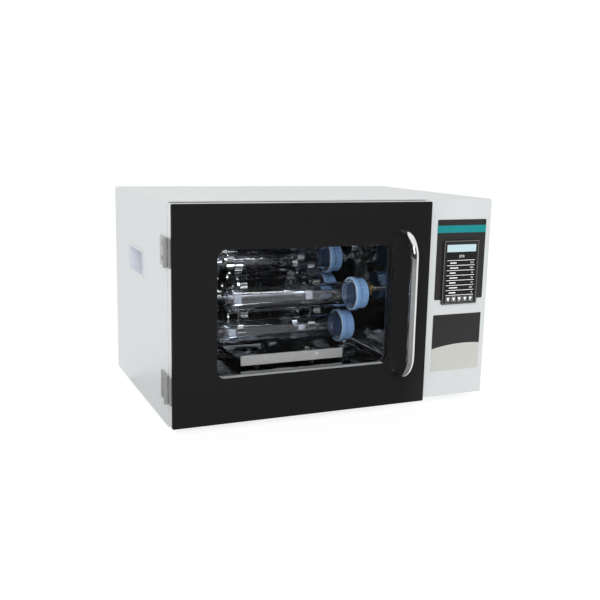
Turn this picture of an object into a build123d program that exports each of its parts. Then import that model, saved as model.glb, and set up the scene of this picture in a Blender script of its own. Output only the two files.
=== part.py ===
from build123d import *
import math
import os

# A bench hybridization oven: a heated chamber behind a glass door, a rotor that
# turns bottles, a shaker tray below it, and a control section on the right.
# Sizes are millimetres. Working frame: X to the right from the cabinet's left
# side, Y backwards from its front face, Z up from its underside. Every piece is
# shifted at the end so that the origin is below the middle of the whole oven.

# Cabinet
cab_w = 548.0
cab_d = 363.0
cab_h = 330.0
sheet = 1.5
shell_corner_r = 4.0
shell_lip = 14.0
rear_lip_w = 22.0
panel_gap = 0.2

# Feet
foot_h = 10.0
foot_r = 13.0
foot_inset_x = 48.0
foot_inset_y = 48.0

# Door
door_w = 420.0
door_edge_gap = 2.5
door_gap = 2.0
door_frame_t = 16.0
glass_t = 4.0
pane_gap = 0.1
window_x0 = 67.0
window_x1 = 354.0
window_z0 = 71.0
window_z1 = 261.5
window_r = 14.0
inner_pane_lap = 12.0
inner_pane_t = 4.0
door_liner_t = 1.0
door_liner_margin = 26.0

# Door handle
handle_x = 369.0
handle_w = 15.5
handle_t = 8.0
handle_bend_r = 40.0
handle_z = 167.0
handle_straight = 148.0
handle_screw_r = 2.5
handle_head_r = 4.2
handle_bore_depth = 6.0
handle_thread = 9.0

# Hinges
hinge_axis_off = 4.0
hinge_leaf_t = 1.8
hinge_h = 42.0
hinge_knuckle_r = 3.8
hinge_pin_r = 1.8
hinge_fit = 0.06
hinge_top_z = 258.0
hinge_bottom_z = 58.0
hinge_leaf_len = 34.0
hinge_knuckle_gap = 0.25
screw_head_r = 3.2
screw_head_h = 1.4

# Chamber
liner_t = 1.2
chamber_x0 = 28.0
chamber_x1 = 392.0
chamber_z0 = 60.0
chamber_z1 = 284.0
chamber_depth = 300.0
chamber_corner_r = 10.0
duct_y = 258.0
soft_gap = 0.3
insulation_back_t = 23.0
insulation_bottom_t = 19.0
insulation_top_t = 40.0
partition_x = 413.0

# Gasket
gasket_w = 10.0
gasket_t = 1.7

# Carry handles
pocket_y0 = 146.0
pocket_y1 = 251.0
pocket_z0 = 198.0
pocket_z1 = 242.0
pocket_depth = 18.0
pocket_wall = 2.0
pocket_flange = 1.2
pocket_r = 9.0

# Control panel
overlay_t = 0.5
overlay_x0 = 446.0
overlay_x1 = 539.5
upper_z0 = 164.5
upper_z1 = 296.5
stripe_z0 = 275.0
stripe_z1 = 287.0
stripe_t = 0.25
bezel_x0 = 458.5
bezel_x1 = 527.0
bezel_z0 = 156.5
bezel_z1 = 263.0
bezel_proud = 3.0
bezel_behind = 16.0
screen_x0 = 464.0
screen_x1 = 522.0
screen_z0 = 159.0
screen_z1 = 256.5
screen_t = 1.6
lower_z0 = 43.0
lower_z1 = 139.0
arch_corner_z = 81.5
arch_peak_z = 88.5

# Rotor
rotor_y = 124.5
rotor_z = 166.0
station_count = 6
station_r = 64.0
first_station_deg = 175.0
axle_r = 5.0
running_fit = 0.05
wheel_x = (134.0, 258.0)
wheel_t = 3.0
wheel_point_r = 54.0
wheel_boss_r = 11.0
wheel_boss_w = 18.0
clip_w = 12.0
clip_t = 1.2
clip_mouth_half_deg = 62.0
clip_lip_r = 4.0
coupling_r = 10.0
coupling_len = 20.0

# Bottles
bottle_r = 20.5
bottle_wall = 2.0
bottle_bottom_r = 15.0
bottle_fit = 0.3
bottle_x0 = 105.0
cap_x0 = 326.0
cap_ring_r = 27.5
cap_ring_t = 8.0
cap_r = 24.5
cap_x1 = 361.0
cap_wall = 3.0
cap_grips = 16
cap_grip_r = 1.4
cap_edge = 1.0
neck_inset = 1.5
bottle_stations = (0, 1, 3, 4)

# Shaker tray
tray_x0 = 133.0
tray_x1 = 311.0
tray_y0 = 63.0
tray_y1 = 206.0
tray_z = 66.0
tray_t = 1.5
tray_side_lip = 8.0
tray_back_lip = 12.0
bar_t = 3.0
bar_z0 = 65.0
bar_z1 = 80.7
bar_screw_x = (174.5, 265.0)
post_r = 4.0
post_x = (168.0, 266.0)
post_y = (82.0, 188.0)
stroke = 8.0
slot_gap = 1.0

# Shaker drive below the floor
rod_r = 4.0
rod_z = 20.0
rod_x0 = 122.0
rod_x1 = 312.0
block_w = 12.0
block_d = 20.0
carriage_z = 30.5
carriage_t = 3.5
carriage_lug_w = 20.0
crank_x = 217.0
crank_y = 135.0
crank_r = 14.0
crank_t = 4.0
crank_pin_r = 3.0
crank_top_gap = 0.4
yoke_gap = 0.4
shaker_motor_r = 27.0
shaker_motor_h = 20.0
shaft_r = 3.0

# Circulation fan and heater
fan_x = 210.0
fan_z = 172.0
fan_r = 44.0
fan_depth = 20.0
fan_blades = 12
fan_blade_t = 1.2
fan_back_y = 288.0
fan_motor_r = 30.0
fan_motor_len = 30.0
heater_r = 62.0
heater_tube_r = 3.2
louvre_cols = 10
louvre_rows = 13
louvre_pitch_x = 19.2
louvre_pitch_z = 9.0
louvre_w = 14.0
louvre_h = 3.0
louvre_hood = 2.2
probe_r = 2.0
probe_len = 60.0

# Electronics bay
gearmotor_x0 = 442.0
gearmotor_x1 = 520.0
gearmotor_r = 26.0
standoff_r = 4.0
standoff_circle_r = 20.0
board_t = 1.6
inlet_x = 500.0
inlet_z = 62.0
inlet_w = 27.0
inlet_h = 19.5
inlet_depth = 22.0
switch_x = 455.0
switch_w = 13.0
switch_h = 19.0
rocker_r = 11.5
vent_slots = 9
vent_slot_w = 3.0
vent_slot_h = 42.0
vent_pitch = 8.0

# Derived places
door_back_y = -door_gap
door_mid_y = door_back_y - door_frame_t
door_front_y = door_mid_y - glass_t
door_z0 = door_edge_gap
door_z1 = cab_h - door_edge_gap
fascia_x0 = door_w + door_edge_gap / 2
grip_y = door_front_y - handle_bend_r
handle_back_reach = -grip_y + handle_t / 2
liner_back_y = chamber_depth + liner_t
liner_x0 = chamber_x0 - liner_t
liner_x1 = chamber_x1 + liner_t
liner_z0 = chamber_z0 - liner_t
liner_z1 = chamber_z1 + liner_t
hinge_leaf_out = hinge_axis_off + hinge_knuckle_r
shift = Location((
    -(cab_w - hinge_leaf_out) / 2,
    -(cab_d - handle_back_reach) / 2,
    foot_h,
))

os.makedirs("parts", exist_ok=True)


def save(name, *shapes):
    """Move finished solids to the oven's own origin and write them as one node."""
    moved = [shift * shape for shape in shapes]
    export_step(moved[0] if len(moved) == 1 else Compound(children=moved), f"parts/{name}.step")


def block(x0, x1, y0, y1, z0, z1):
    """A box between two corners."""
    return Pos(x0, y0, z0) * Box(x1 - x0, y1 - y0, z1 - z0, align=(Align.MIN,) * 3)


def soft_block(axis, r, x0, x1, y0, y1, z0, z1):
    """A box with the four edges along one axis rounded."""
    solid = block(x0, x1, y0, y1, z0, z1)
    return fillet(solid.edges().filter_by(axis), r)


def rod_x(x0, x1, r, y, z):
    """A cylinder along X."""
    return Pos(x0, y, z) * Rot(0, 90, 0) * Cylinder(r, x1 - x0, align=(Align.CENTER, Align.CENTER, Align.MIN))


def rod_y(y0, y1, r, x, z):
    """A cylinder along Y."""
    return Pos(x, y0, z) * Rot(-90, 0, 0) * Cylinder(r, y1 - y0, align=(Align.CENTER, Align.CENTER, Align.MIN))


def rod_z_between(z0, z1, r, x, y):
    """A cylinder along Z."""
    return Pos(x, y, z0) * Cylinder(r, z1 - z0, align=(Align.CENTER, Align.CENTER, Align.MIN))


def screw_y(x, y, z, direction, shank_r, shank_len, head_r=screw_head_r, head_h=screw_head_h):
    """A pan-head screw along Y whose head lies on the plane y and points along direction."""
    if direction > 0:
        head = rod_y(y, y + head_h, head_r, x, z)
        shank = rod_y(y - shank_len, y, shank_r, x, z)
    else:
        head = rod_y(y - head_h, y, head_r, x, z)
        shank = rod_y(y, y + shank_len, shank_r, x, z)
    return head + shank


# Outer shell
def shell_outline(inset, y0, y1):
    radius = max(shell_corner_r - inset, 0.5)
    solid = block(inset, cab_w - inset, y0, y1, inset, cab_h - inset)
    top_edges = solid.edges().filter_by(Axis.Y).group_by(Axis.Z)[-1]
    return fillet(top_edges, radius)


def pocket_hole(x0, x1):
    grow = panel_gap
    return soft_block(
        Axis.X, pocket_r, x0, x1,
        pocket_y0 + pocket_flange - grow, pocket_y1 - pocket_flange + grow,
        pocket_z0 + pocket_flange - grow, pocket_z1 - pocket_flange + grow,
    )


def side_vents():
    first_y = cab_d - 60.0 - vent_pitch * (vent_slots - 1)
    return [
        block(cab_w - 2 * sheet, cab_w + 1, first_y + i * vent_pitch, first_y + i * vent_pitch + vent_slot_w,
              40.0, 40.0 + vent_slot_h)
        for i in range(vent_slots)
    ]


rear_y0 = cab_d - sheet
rear_screw_inset = 14.0
rear_screw_places = [
    (x, z)
    for x in (rear_screw_inset, cab_w / 2, cab_w - rear_screw_inset)
    for z in (rear_screw_inset, cab_h - rear_screw_inset)
] + [(rear_screw_inset, cab_h / 2), (cab_w - rear_screw_inset, cab_h / 2)]
screw_shank_r = 1.6
pan_top = 2 * sheet
pan_wall_h = 16.0
lip_y1 = rear_y0 - panel_gap
rear_lip = shell_outline(sheet / 2, lip_y1 - sheet, lip_y1) - block(
    rear_lip_w, cab_w - rear_lip_w, 0, cab_d, 0, cab_h - rear_lip_w,
)
rear_lip -= block(-1, cab_w + 1, 0, cab_d, -1, pan_top + pan_wall_h + panel_gap)
shell = shell_outline(0, 0, cab_d) - shell_outline(sheet, -1, cab_d + 1) + rear_lip
for x, z in rear_screw_places:
    shell -= rod_y(rear_y0 - 10.0, cab_d + 1, screw_shank_r, x, z)
shell -= block(shell_lip, cab_w - shell_lip, -1, cab_d + 1, -1, sheet + 0.5)
shell -= block(fascia_x0 - panel_gap, cab_w + 1, -1, sheet + panel_gap, -1, cab_h + 1)
shell -= pocket_hole(-1, sheet + 1)
shell -= pocket_hole(cab_w - sheet - 1, cab_w + 1)
for vent in side_vents():
    shell -= vent
save("outer_shell", shell)

# Base pan: an open tray that sits on the shell's bottom lips
pan_x0 = sheet + panel_gap
pan_x1 = cab_w - sheet - panel_gap
pan_y0 = sheet + panel_gap
pan_y1 = cab_d - sheet - panel_gap
base_pan = block(pan_x0, pan_x1, pan_y0, pan_y1, sheet, pan_top + pan_wall_h)
base_pan -= block(pan_x0 + sheet, pan_x1 - sheet, pan_y0 + sheet, pan_y1 - sheet, pan_top, cab_h)
for i in range(vent_slots):
    slot_x = partition_x + 24.0 + i * vent_pitch * 1.4
    base_pan -= block(slot_x, slot_x + vent_slot_w, 120.0, 120.0 + vent_slot_h, 0, pan_top + 1)
for x, z in rear_screw_places:
    base_pan -= rod_y(rear_y0 - 10.0, cab_d, screw_shank_r, x, z)
save("base_pan", base_pan)

# Feet
foot_places = [
    (x, y)
    for x in (foot_inset_x, cab_w - foot_inset_x)
    for y in (foot_inset_y, cab_d - foot_inset_y)
]


def foot(x, y):
    body = Pos(x, y, -foot_h) * Cone(foot_r - 2.0, foot_r, foot_h, align=(Align.CENTER, Align.CENTER, Align.MIN))
    body += rod_z_between(0, sheet, foot_r / 2, x, y)
    recess = rod_z_between(-foot_h, -foot_h + 3.0, 4.0, x, y)
    return body - recess


save("feet", *[foot(x, y) for x, y in foot_places])

# Front frame: stainless face round the chamber mouth, behind the door
frame_x0 = sheet + panel_gap
frame_x1 = fascia_x0 - 2 * panel_gap
frame_z0 = sheet + panel_gap
frame_z1 = cab_h - sheet - panel_gap
magnet_w = 12.0
magnet_h = 40.0
magnet_x = (chamber_x1 + frame_x1) / 2
magnet_places = (handle_z - 95.0, handle_z + 95.0)
front_frame = block(frame_x0, frame_x1, 0, sheet, frame_z0, frame_z1)
front_frame = fillet(
    front_frame.edges().filter_by(Axis.Y).group_by(Axis.Z)[-1].sort_by(Axis.X)[0], shell_corner_r - sheet,
)
front_frame -= soft_block(Axis.Y, chamber_corner_r, chamber_x0, chamber_x1, -1, sheet + 1, chamber_z0, chamber_z1)
for z in magnet_places:
    front_frame -= block(magnet_x - magnet_w / 2, magnet_x + magnet_w / 2, -1, sheet + 1, z - magnet_h / 2, z + magnet_h / 2)
save("front_frame", front_frame)

# Door magnets, let into the front frame
catch_proud = door_gap - soft_gap


def magnet(z):
    return block(
        magnet_x - magnet_w / 2 + panel_gap, magnet_x + magnet_w / 2 - panel_gap,
        -catch_proud, 8.0, z - magnet_h / 2 + panel_gap, z + magnet_h / 2 - panel_gap,
    )


save("catch_magnets", *[magnet(z) for z in magnet_places])

# Door gasket: a hollow silicone ring on the front frame
gasket_x0 = chamber_x0 - 2.0 - gasket_w
gasket_x1 = chamber_x1 + 2.0
gasket_z0 = chamber_z0 - 4.0 - gasket_w
gasket_z1 = chamber_z1 + 4.0 + gasket_w


def rounded_ring(x0, x1, y0, y1, z0, z1, width, r):
    outer = soft_block(Axis.Y, r, x0, x1, y0, y1, z0, z1)
    inner = soft_block(Axis.Y, max(r - width, 1.0), x0 + width, x1 - width, y0 - 1, y1 + 1, z0 + width, z1 - width)
    return outer - inner


gasket_seat_w = min(gasket_w, (magnet_x - magnet_w / 2) - chamber_x1 - 1.0)
gasket = rounded_ring(
    chamber_x0 - 2.0 - gasket_seat_w, chamber_x1 + 0.5 + gasket_seat_w - 1.5, -gasket_t, 0,
    gasket_z0, gasket_z1, gasket_seat_w, 14.0,
)
save("door_gasket", gasket)

# Chamber liner
def liner_box(grow, y1):
    return soft_block(
        Axis.Y, chamber_corner_r + grow, chamber_x0 - grow, chamber_x1 + grow,
        sheet, y1, chamber_z0 - grow, chamber_z1 + grow,
    )


slot_half_len = stroke + post_r + slot_gap
slot_half_w = post_r + slot_gap


def post_slots(z0, z1):
    """The four floor slots that let the tray's posts travel along X."""
    return [
        soft_block(
            Axis.Z, slot_half_w - 0.1, x - slot_half_len, x + slot_half_len,
            y - slot_half_w, y + slot_half_w, z0, z1,
        )
        for x in post_x
        for y in post_y
    ]


bearing_r = 9.0
liner = liner_box(liner_t, liner_back_y) - liner_box(0, chamber_depth)
for slot in post_slots(chamber_z0 - 2 * liner_t, chamber_z0 + 1):
    liner -= slot
liner -= rod_x(liner_x0 - 1, liner_x1 + 1, bearing_r + 0.02, rotor_y, rotor_z)
shaft_hole_r = shaft_r + 3.0
liner -= rod_y(chamber_depth - 1, liner_back_y + 1, shaft_hole_r, fan_x, fan_z)
heater_leg_dx = 14.0
heater_leg_z = fan_z - heater_r
for dx in (-heater_leg_dx, heater_leg_dx):
    liner -= rod_y(chamber_depth - 1, liner_back_y + 1, heater_tube_r + 0.05, fan_x + dx, heater_leg_z)
probe_x = fan_x + 100.0
probe_z = 250.0
liner -= rod_y(chamber_depth - 1, liner_back_y + 1, probe_r + 0.05, probe_x, probe_z)
save("chamber_liner", liner)

# Insulation jacket round the liner
ins_x0 = sheet + soft_gap
ins_x1 = partition_x - soft_gap
ins_y1 = liner_back_y + soft_gap + insulation_back_t
ins_z0 = liner_z0 - soft_gap - insulation_bottom_t
ins_z1 = min(liner_z1 + soft_gap + insulation_top_t, cab_h - sheet - soft_gap)
insulation = block(ins_x0, ins_x1, sheet + soft_gap, ins_y1, ins_z0, ins_z1)
insulation -= liner_box(liner_t + soft_gap, liner_back_y + soft_gap)
insulation -= block(liner_x0, liner_x1, 0, 10.0, liner_z0 + 20.0, liner_z1 - 20.0)
insulation -= soft_block(
    Axis.X, pocket_r, 0, pocket_depth + pocket_wall + soft_gap,
    pocket_y0 - soft_gap, pocket_y1 + soft_gap, pocket_z0 - soft_gap, pocket_z1 + soft_gap,
)
insulation -= rod_x(0, cab_w, bearing_r + soft_gap, rotor_y, rotor_z)
for slot in post_slots(ins_z0 - 1, liner_z0 + 1):
    insulation -= slot
insulation -= rod_y(liner_back_y - 1, ins_y1 + 1, shaft_hole_r, fan_x, fan_z)
for dx in (-heater_leg_dx, heater_leg_dx):
    insulation -= rod_y(liner_back_y - 1, ins_y1 + 1, heater_tube_r + soft_gap, fan_x + dx, heater_leg_z)
insulation -= rod_y(liner_back_y - 1, ins_y1 + 1, probe_r + soft_gap, probe_x, probe_z)
for z in magnet_places:
    insulation -= block(
        magnet_x - magnet_w / 2 - soft_gap, magnet_x + magnet_w / 2 + soft_gap, 0, 8.0 + soft_gap,
        z - magnet_h / 2 - soft_gap, z + magnet_h / 2 + soft_gap,
    )
save("insulation", insulation)

# Partition between the insulation and the electronics bay
partition_z0 = pan_top
partition = block(partition_x, partition_x + sheet, pan_y0 + sheet + panel_gap, pan_y1 - sheet - panel_gap,
                  partition_z0, cab_h - sheet - panel_gap)
partition -= rod_x(partition_x - 1, partition_x + sheet + 1, axle_r + 2.0, rotor_y, rotor_z)
standoff_places = [
    (rotor_y + standoff_circle_r * math.cos(math.radians(a)), rotor_z + standoff_circle_r * math.sin(math.radians(a)))
    for a in (45, 135, 225, 315)
]
save("bay_partition", partition)

# Duct cover with pressed louvres
duct_t = 1.2
duct_gap_x = 12.0
duct_x0 = chamber_x0 + duct_gap_x
duct_x1 = chamber_x1 - duct_gap_x
duct_z0 = chamber_z0 + 0.1
duct_z1 = chamber_z1 - 0.1


def louvre_places():
    first_x = fan_x - louvre_pitch_x * (louvre_cols - 1) / 2
    first_z = fan_z - louvre_pitch_z * (louvre_rows - 1) / 2
    return [
        (first_x + i * louvre_pitch_x, first_z + j * louvre_pitch_z)
        for i in range(louvre_cols)
        for j in range(louvre_rows)
    ]


hood_profile = Plane.YZ * Polygon(
    (0, louvre_h / 2 + 1.0), (0, louvre_h / 2), (-louvre_hood, -louvre_h / 2), (-louvre_hood, -louvre_h / 2 + 1.0),
    align=None,
)
hood = extrude(hood_profile, louvre_w / 2, both=True)
slot_tool = Box(louvre_w, 4 * duct_t, louvre_h)
duct = block(duct_x0, duct_x1, duct_y, duct_y + duct_t, duct_z0, duct_z1)
duct += block(duct_x0, duct_x0 + duct_t, duct_y, chamber_depth, duct_z0, duct_z1)
duct += block(duct_x1 - duct_t, duct_x1, duct_y, chamber_depth, duct_z0, duct_z1)
for side_x in (duct_x0, duct_x1):
    for j in range(8):
        outlet_z = chamber_z0 + 34.0 + j * 21.0
        duct -= block(side_x - 2 * duct_t, side_x + 2 * duct_t, duct_y + 10.0, chamber_depth - 10.0, outlet_z, outlet_z + 9.0)
duct = duct - [Pos(x, duct_y + duct_t / 2, z) * slot_tool for x, z in louvre_places()]
duct = duct + [Pos(x, duct_y, z) * hood for x, z in louvre_places()]
duct -= rod_y(duct_y - 1, duct_y + 2 * duct_t, probe_r + panel_gap, probe_x, probe_z)
save("duct_cover", duct)

# Tubular heater: an eight-sided loop round the fan, with two legs through the rear wall
heater_y = (duct_y + duct_t + chamber_depth) / 2 - 3.0
heater_end = ins_y1 + 1.0
heater_corner_r = heater_r / math.cos(math.pi / 8)
corner_angles = [math.radians(-67.5 + 45 * i) for i in range(8)]
heater_corners = [
    (fan_x + heater_corner_r * math.cos(a), heater_y, fan_z + heater_corner_r * math.sin(a)) for a in corner_angles
]
heater_ends = [(fan_x + dx, heater_y, fan_z - heater_r) for dx in (heater_leg_dx, -heater_leg_dx)]
heater_route = Polyline(
    (heater_ends[0][0], heater_end, heater_ends[0][2]), heater_ends[0], *heater_corners, heater_ends[1],
    (heater_ends[1][0], heater_end, heater_ends[1][2]),
)
heater_start = Plane((heater_ends[0][0], heater_end, heater_ends[0][2]), z_dir=(0, -1, 0))
heater = sweep(heater_start * Circle(heater_tube_r), path=heater_route, transition=Transition.RIGHT)
save("heater_ring", heater)

# Temperature probe
probe = rod_y(chamber_depth - probe_len, ins_y1 + 2.0, probe_r, probe_x, probe_z)
save("temperature_probe", probe)

# Circulation fan: a backward-curved wheel on the motor's shaft
fan_front_y = fan_back_y - fan_depth
blade_arc_r = 30.0


def fan_blade():
    """One curved blade, as the part of a thin ring wall between hub and rim."""
    ring_wall = rod_y(fan_front_y, fan_back_y, blade_arc_r, 20.0, 0) - rod_y(
        fan_front_y - 1, fan_back_y + 1, blade_arc_r - fan_blade_t, 20.0, 0
    )
    keep = rod_y(fan_front_y - 1, fan_back_y + 1, fan_r, 0, 0) - rod_y(fan_front_y - 1, fan_back_y + 1, 20.0, 0, 0)
    half = block(0, 2 * fan_r, fan_front_y - 1, fan_back_y + 1, 0, 2 * fan_r)
    return ring_wall & keep & half


blade = fan_blade()
wheel = rod_y(fan_back_y - 1.5, fan_back_y, fan_r, 0, 0) + rod_y(fan_front_y + 4.0, fan_back_y, 9.0, 0, 0)
wheel += rod_y(fan_front_y, fan_front_y + 1.5, fan_r, 0, 0) - rod_y(fan_front_y - 1, fan_front_y + 3.0, fan_r - 12.0, 0, 0)
for i in range(fan_blades):
    wheel += Rot(0, 360 / fan_blades * i, 0) * blade
wheel += rod_y(fan_back_y, ins_y1 + 4.0, shaft_r, 0, 0)
save("fan_impeller", Pos(fan_x, 0, fan_z) * wheel)

# Fan motor behind the insulation
fan_motor_y0 = ins_y1 + soft_gap
fan_motor = rod_y(fan_motor_y0, fan_motor_y0 + fan_motor_len, fan_motor_r, fan_x, fan_z)
fan_motor = chamfer(fan_motor.edges().filter_by(GeomType.CIRCLE).sort_by(Axis.Y)[-1], 3.0)
fan_motor -= rod_y(fan_motor_y0 - 1, fan_motor_y0 + 6.0, shaft_r + running_fit, fan_x, fan_z)
fan_motor += block(fan_x - fan_motor_r - 12, fan_x + fan_motor_r + 12, fan_motor_y0, fan_motor_y0 + 2.0,
                   fan_z - 9.0, fan_z + 9.0) - rod_y(fan_motor_y0 - 1, fan_motor_y0 + 6.0, fan_motor_r - 2, fan_x, fan_z)
save("fan_motor", fan_motor)


# Rotor
def on_station(index, shape):
    """Carry a shape drawn round the origin out to a bottle station."""
    angle = first_station_deg + 360 / station_count * index
    return Pos(0, rotor_y, rotor_z) * Rot(angle, 0, 0) * Pos(0, station_r, 0) * shape


clip_inner_r = bottle_r + bottle_fit
clip_outer_r = clip_inner_r + clip_t


def clip_shape():
    """A C-shaped spring clip: wraps the bottle, open outwards, with two lips rolled away from the mouth."""
    mid_r = clip_inner_r + clip_t / 2
    wrap = CenterArc((0, 0), mid_r, clip_mouth_half_deg, 360 - 2 * clip_mouth_half_deg)
    band = make_face(offset(wrap, clip_t / 2, side=Side.BOTH))
    solid = extrude(Plane.YZ * band, clip_w / 2, both=True)
    for sign in (1, -1):
        angle = math.radians(clip_mouth_half_deg * sign)
        lip_at = mid_r + clip_lip_r
        y = lip_at * math.cos(angle)
        z = lip_at * math.sin(angle)
        start = clip_mouth_half_deg + 180 - 150 if sign > 0 else -clip_mouth_half_deg - 180
        lip = CenterArc((0, 0), clip_lip_r, start, 150)
        lip_face = make_face(offset(lip, clip_t / 2, side=Side.BOTH))
        solid += Pos(0, y, z) * extrude(Plane.YZ * lip_face, clip_w / 2, both=True)
    return solid


clip = clip_shape()


def clip_wheel(x):
    """Star-shaped wheel whose scalloped edge carries the clips."""
    disc = rod_x(-wheel_t / 2, wheel_t / 2, wheel_point_r, rotor_y, rotor_z)
    disc += rod_x(-wheel_boss_w / 2, wheel_boss_w / 2, wheel_boss_r, rotor_y, rotor_z)
    for i in range(station_count):
        disc -= on_station(i, rod_x(-wheel_t, wheel_t, clip_outer_r, 0, 0))
        lighten = Pos(0, rotor_y, rotor_z) * Rot(first_station_deg + 30 + 60 * i, 0, 0) * Pos(0, 32.0, 0)
        disc -= lighten * rod_x(-wheel_t, wheel_t, 6.5, 0, 0)
    disc -= rod_x(-wheel_boss_w, wheel_boss_w, axle_r, rotor_y, rotor_z)
    return Pos(x, 0, 0) * disc


save("rotor_wheels", *[clip_wheel(x) for x in wheel_x])
empty_stations = [i for i in range(station_count) if i not in bottle_stations]
save("bottle_clips", *[Pos(x, 0, 0) * on_station(i, clip) for x in wheel_x for i in bottle_stations])
save("empty_clips", *[Pos(x, 0, 0) * on_station(i, clip) for x in wheel_x for i in empty_stations])

axle_x0 = chamber_x0 - 8.0
axle_x1 = partition_x + sheet + 6.0
save("rotor_axle", rod_x(axle_x0, axle_x1, axle_r, rotor_y, rotor_z))


def bearing(wall_x, inward):
    """A flanged bush through the liner wall, with its flange inside the chamber."""
    flange_t = 2.0
    reach = 10.0
    if inward > 0:
        body = rod_x(wall_x, wall_x + flange_t, bearing_r + 3.0, rotor_y, rotor_z)
        body += rod_x(wall_x - reach, wall_x, bearing_r, rotor_y, rotor_z)
    else:
        body = rod_x(wall_x - flange_t, wall_x, bearing_r + 3.0, rotor_y, rotor_z)
        body += rod_x(wall_x, wall_x + reach, bearing_r, rotor_y, rotor_z)
    return body - rod_x(wall_x - 2 * reach, wall_x + 2 * reach, axle_r + running_fit, rotor_y, rotor_z)


save("rotor_bearings", bearing(chamber_x0, 1), bearing(chamber_x1, -1))

# Shaft coupling, gearmotor and its stand-offs
coupling_x0 = partition_x + sheet + 1.0
motor_shaft_x0 = axle_x1 + 1.0
coupling = rod_x(coupling_x0, coupling_x0 + coupling_len, coupling_r, rotor_y, rotor_z)
coupling -= rod_x(coupling_x0 - 1, coupling_x0 + coupling_len + 1, axle_r, rotor_y, rotor_z)
save("shaft_coupling", coupling, rod_x(motor_shaft_x0, gearmotor_x0 + 8.0, axle_r, rotor_y, rotor_z))

gearmotor = rod_x(gearmotor_x0, gearmotor_x0 + 24.0, gearmotor_r, rotor_y, rotor_z)
gearmotor += rod_x(gearmotor_x0 + 24.0, gearmotor_x1, gearmotor_r - 4.0, rotor_y, rotor_z)
gearmotor = chamfer(gearmotor.edges().filter_by(GeomType.CIRCLE).sort_by(Axis.X)[-1], 2.0)
gearmotor -= rod_x(gearmotor_x0 - 1, gearmotor_x0 + 9.0, axle_r + running_fit, rotor_y, rotor_z)
save("rotor_gearmotor", gearmotor)
save("gearmotor_standoffs", *[
    rod_x(partition_x + sheet, gearmotor_x0, standoff_r, y, z) for y, z in standoff_places
])

# Bottles and caps
neck_r = bottle_r - neck_inset
bottle_x1 = cap_x1 - cap_wall - 0.5


def bottle():
    """A round-bottomed glass tube along X with a plain neck under the cap."""
    outer = rod_x(bottle_x0, cap_x0 - 2.0, bottle_r, 0, 0)
    outer = fillet(outer.edges().filter_by(GeomType.CIRCLE).sort_by(Axis.X)[0], bottle_bottom_r)
    outer = chamfer(outer.edges().filter_by(GeomType.CIRCLE).sort_by(Axis.X)[-1], neck_inset)
    outer += rod_x(cap_x0 - 3.0, bottle_x1, neck_r, 0, 0)
    inner = rod_x(bottle_x0 + bottle_wall, bottle_x1 + 1, neck_r - bottle_wall, 0, 0)
    inner = chamfer(inner.edges().filter_by(GeomType.CIRCLE).sort_by(Axis.X)[0], bottle_bottom_r / 2)
    return outer - inner


def cap():
    """A screw cap: a wide flange ring with two turned grooves in its face, and a lid with grip flutes."""
    ring = rod_x(cap_x0, cap_x0 + cap_ring_t, cap_ring_r, 0, 0)
    ring = chamfer(ring.edges().filter_by(GeomType.CIRCLE), cap_edge)
    for outer_r in (cap_ring_r - 2.6, cap_ring_r - 5.2):
        ring -= rod_x(cap_x0 - 1, cap_x0 + cap_edge, outer_r, 0, 0) - rod_x(
            cap_x0 - 2, cap_x0 + 2 * cap_edge, outer_r - 1.4, 0, 0
        )
    lid = rod_x(cap_x0 + cap_ring_t, cap_x1, cap_r, 0, 0)
    lid = chamfer(lid.edges().filter_by(GeomType.CIRCLE).sort_by(Axis.X)[-1], 2 * cap_edge)
    flutes = [
        Rot(360 / cap_grips * i, 0, 0) * rod_x(cap_x0 + cap_ring_t + 4.0, cap_x1 + 1, cap_grip_r, cap_r + 0.4, 0)
        for i in range(cap_grips)
    ]
    return (ring + lid) - flutes - rod_x(cap_x0 - 1, cap_x1 - cap_wall, neck_r + running_fit, 0, 0)


one_bottle = bottle()
one_cap = cap()
save("bottles", *[on_station(station, one_bottle) for station in bottle_stations])
for number, station in enumerate(bottle_stations, 1):
    save(f"cap_{number}", on_station(station, one_cap))

# Shaker tray
tray = block(tray_x0, tray_x1, tray_y0, tray_y1, tray_z, tray_z + tray_t)
tray += block(tray_x0, tray_x0 + tray_t, tray_y0, tray_y1, tray_z, tray_z + tray_side_lip)
tray += block(tray_x1 - tray_t, tray_x1, tray_y0, tray_y1, tray_z, tray_z + tray_side_lip)
tray += block(tray_x0, tray_x1, tray_y1 - tray_t, tray_y1, tray_z, tray_z + tray_back_lip)
tray += block(tray_x0, tray_x1, tray_y0, tray_y0 + tray_t, tray_z, bar_z1 - 2.0)
bar_screw_z = (bar_z0 + bar_z1) / 2
for x in bar_screw_x:
    tray -= rod_y(tray_y0 - 1, tray_y0 + tray_t + 1, screw_shank_r, x, bar_screw_z)
save("shaker_tray", tray)

bar = soft_block(Axis.Y, 1.0, tray_x0, tray_x1, tray_y0 - bar_t, tray_y0, bar_z0, bar_z1)
for x in bar_screw_x:
    bar -= rod_y(tray_y0 - bar_t - 1, tray_y0 + 1, screw_shank_r, x, bar_screw_z)
save("tray_front_bar", bar)
save("tray_bar_screws", *[
    screw_y(x, tray_y0 - bar_t, bar_screw_z, -1, screw_shank_r, bar_t + tray_t) for x in bar_screw_x
])

carriage_top = carriage_z + carriage_t
tray_posts = [rod_z_between(carriage_top, tray_z, post_r, x, y) for x in post_x for y in post_y]

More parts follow.
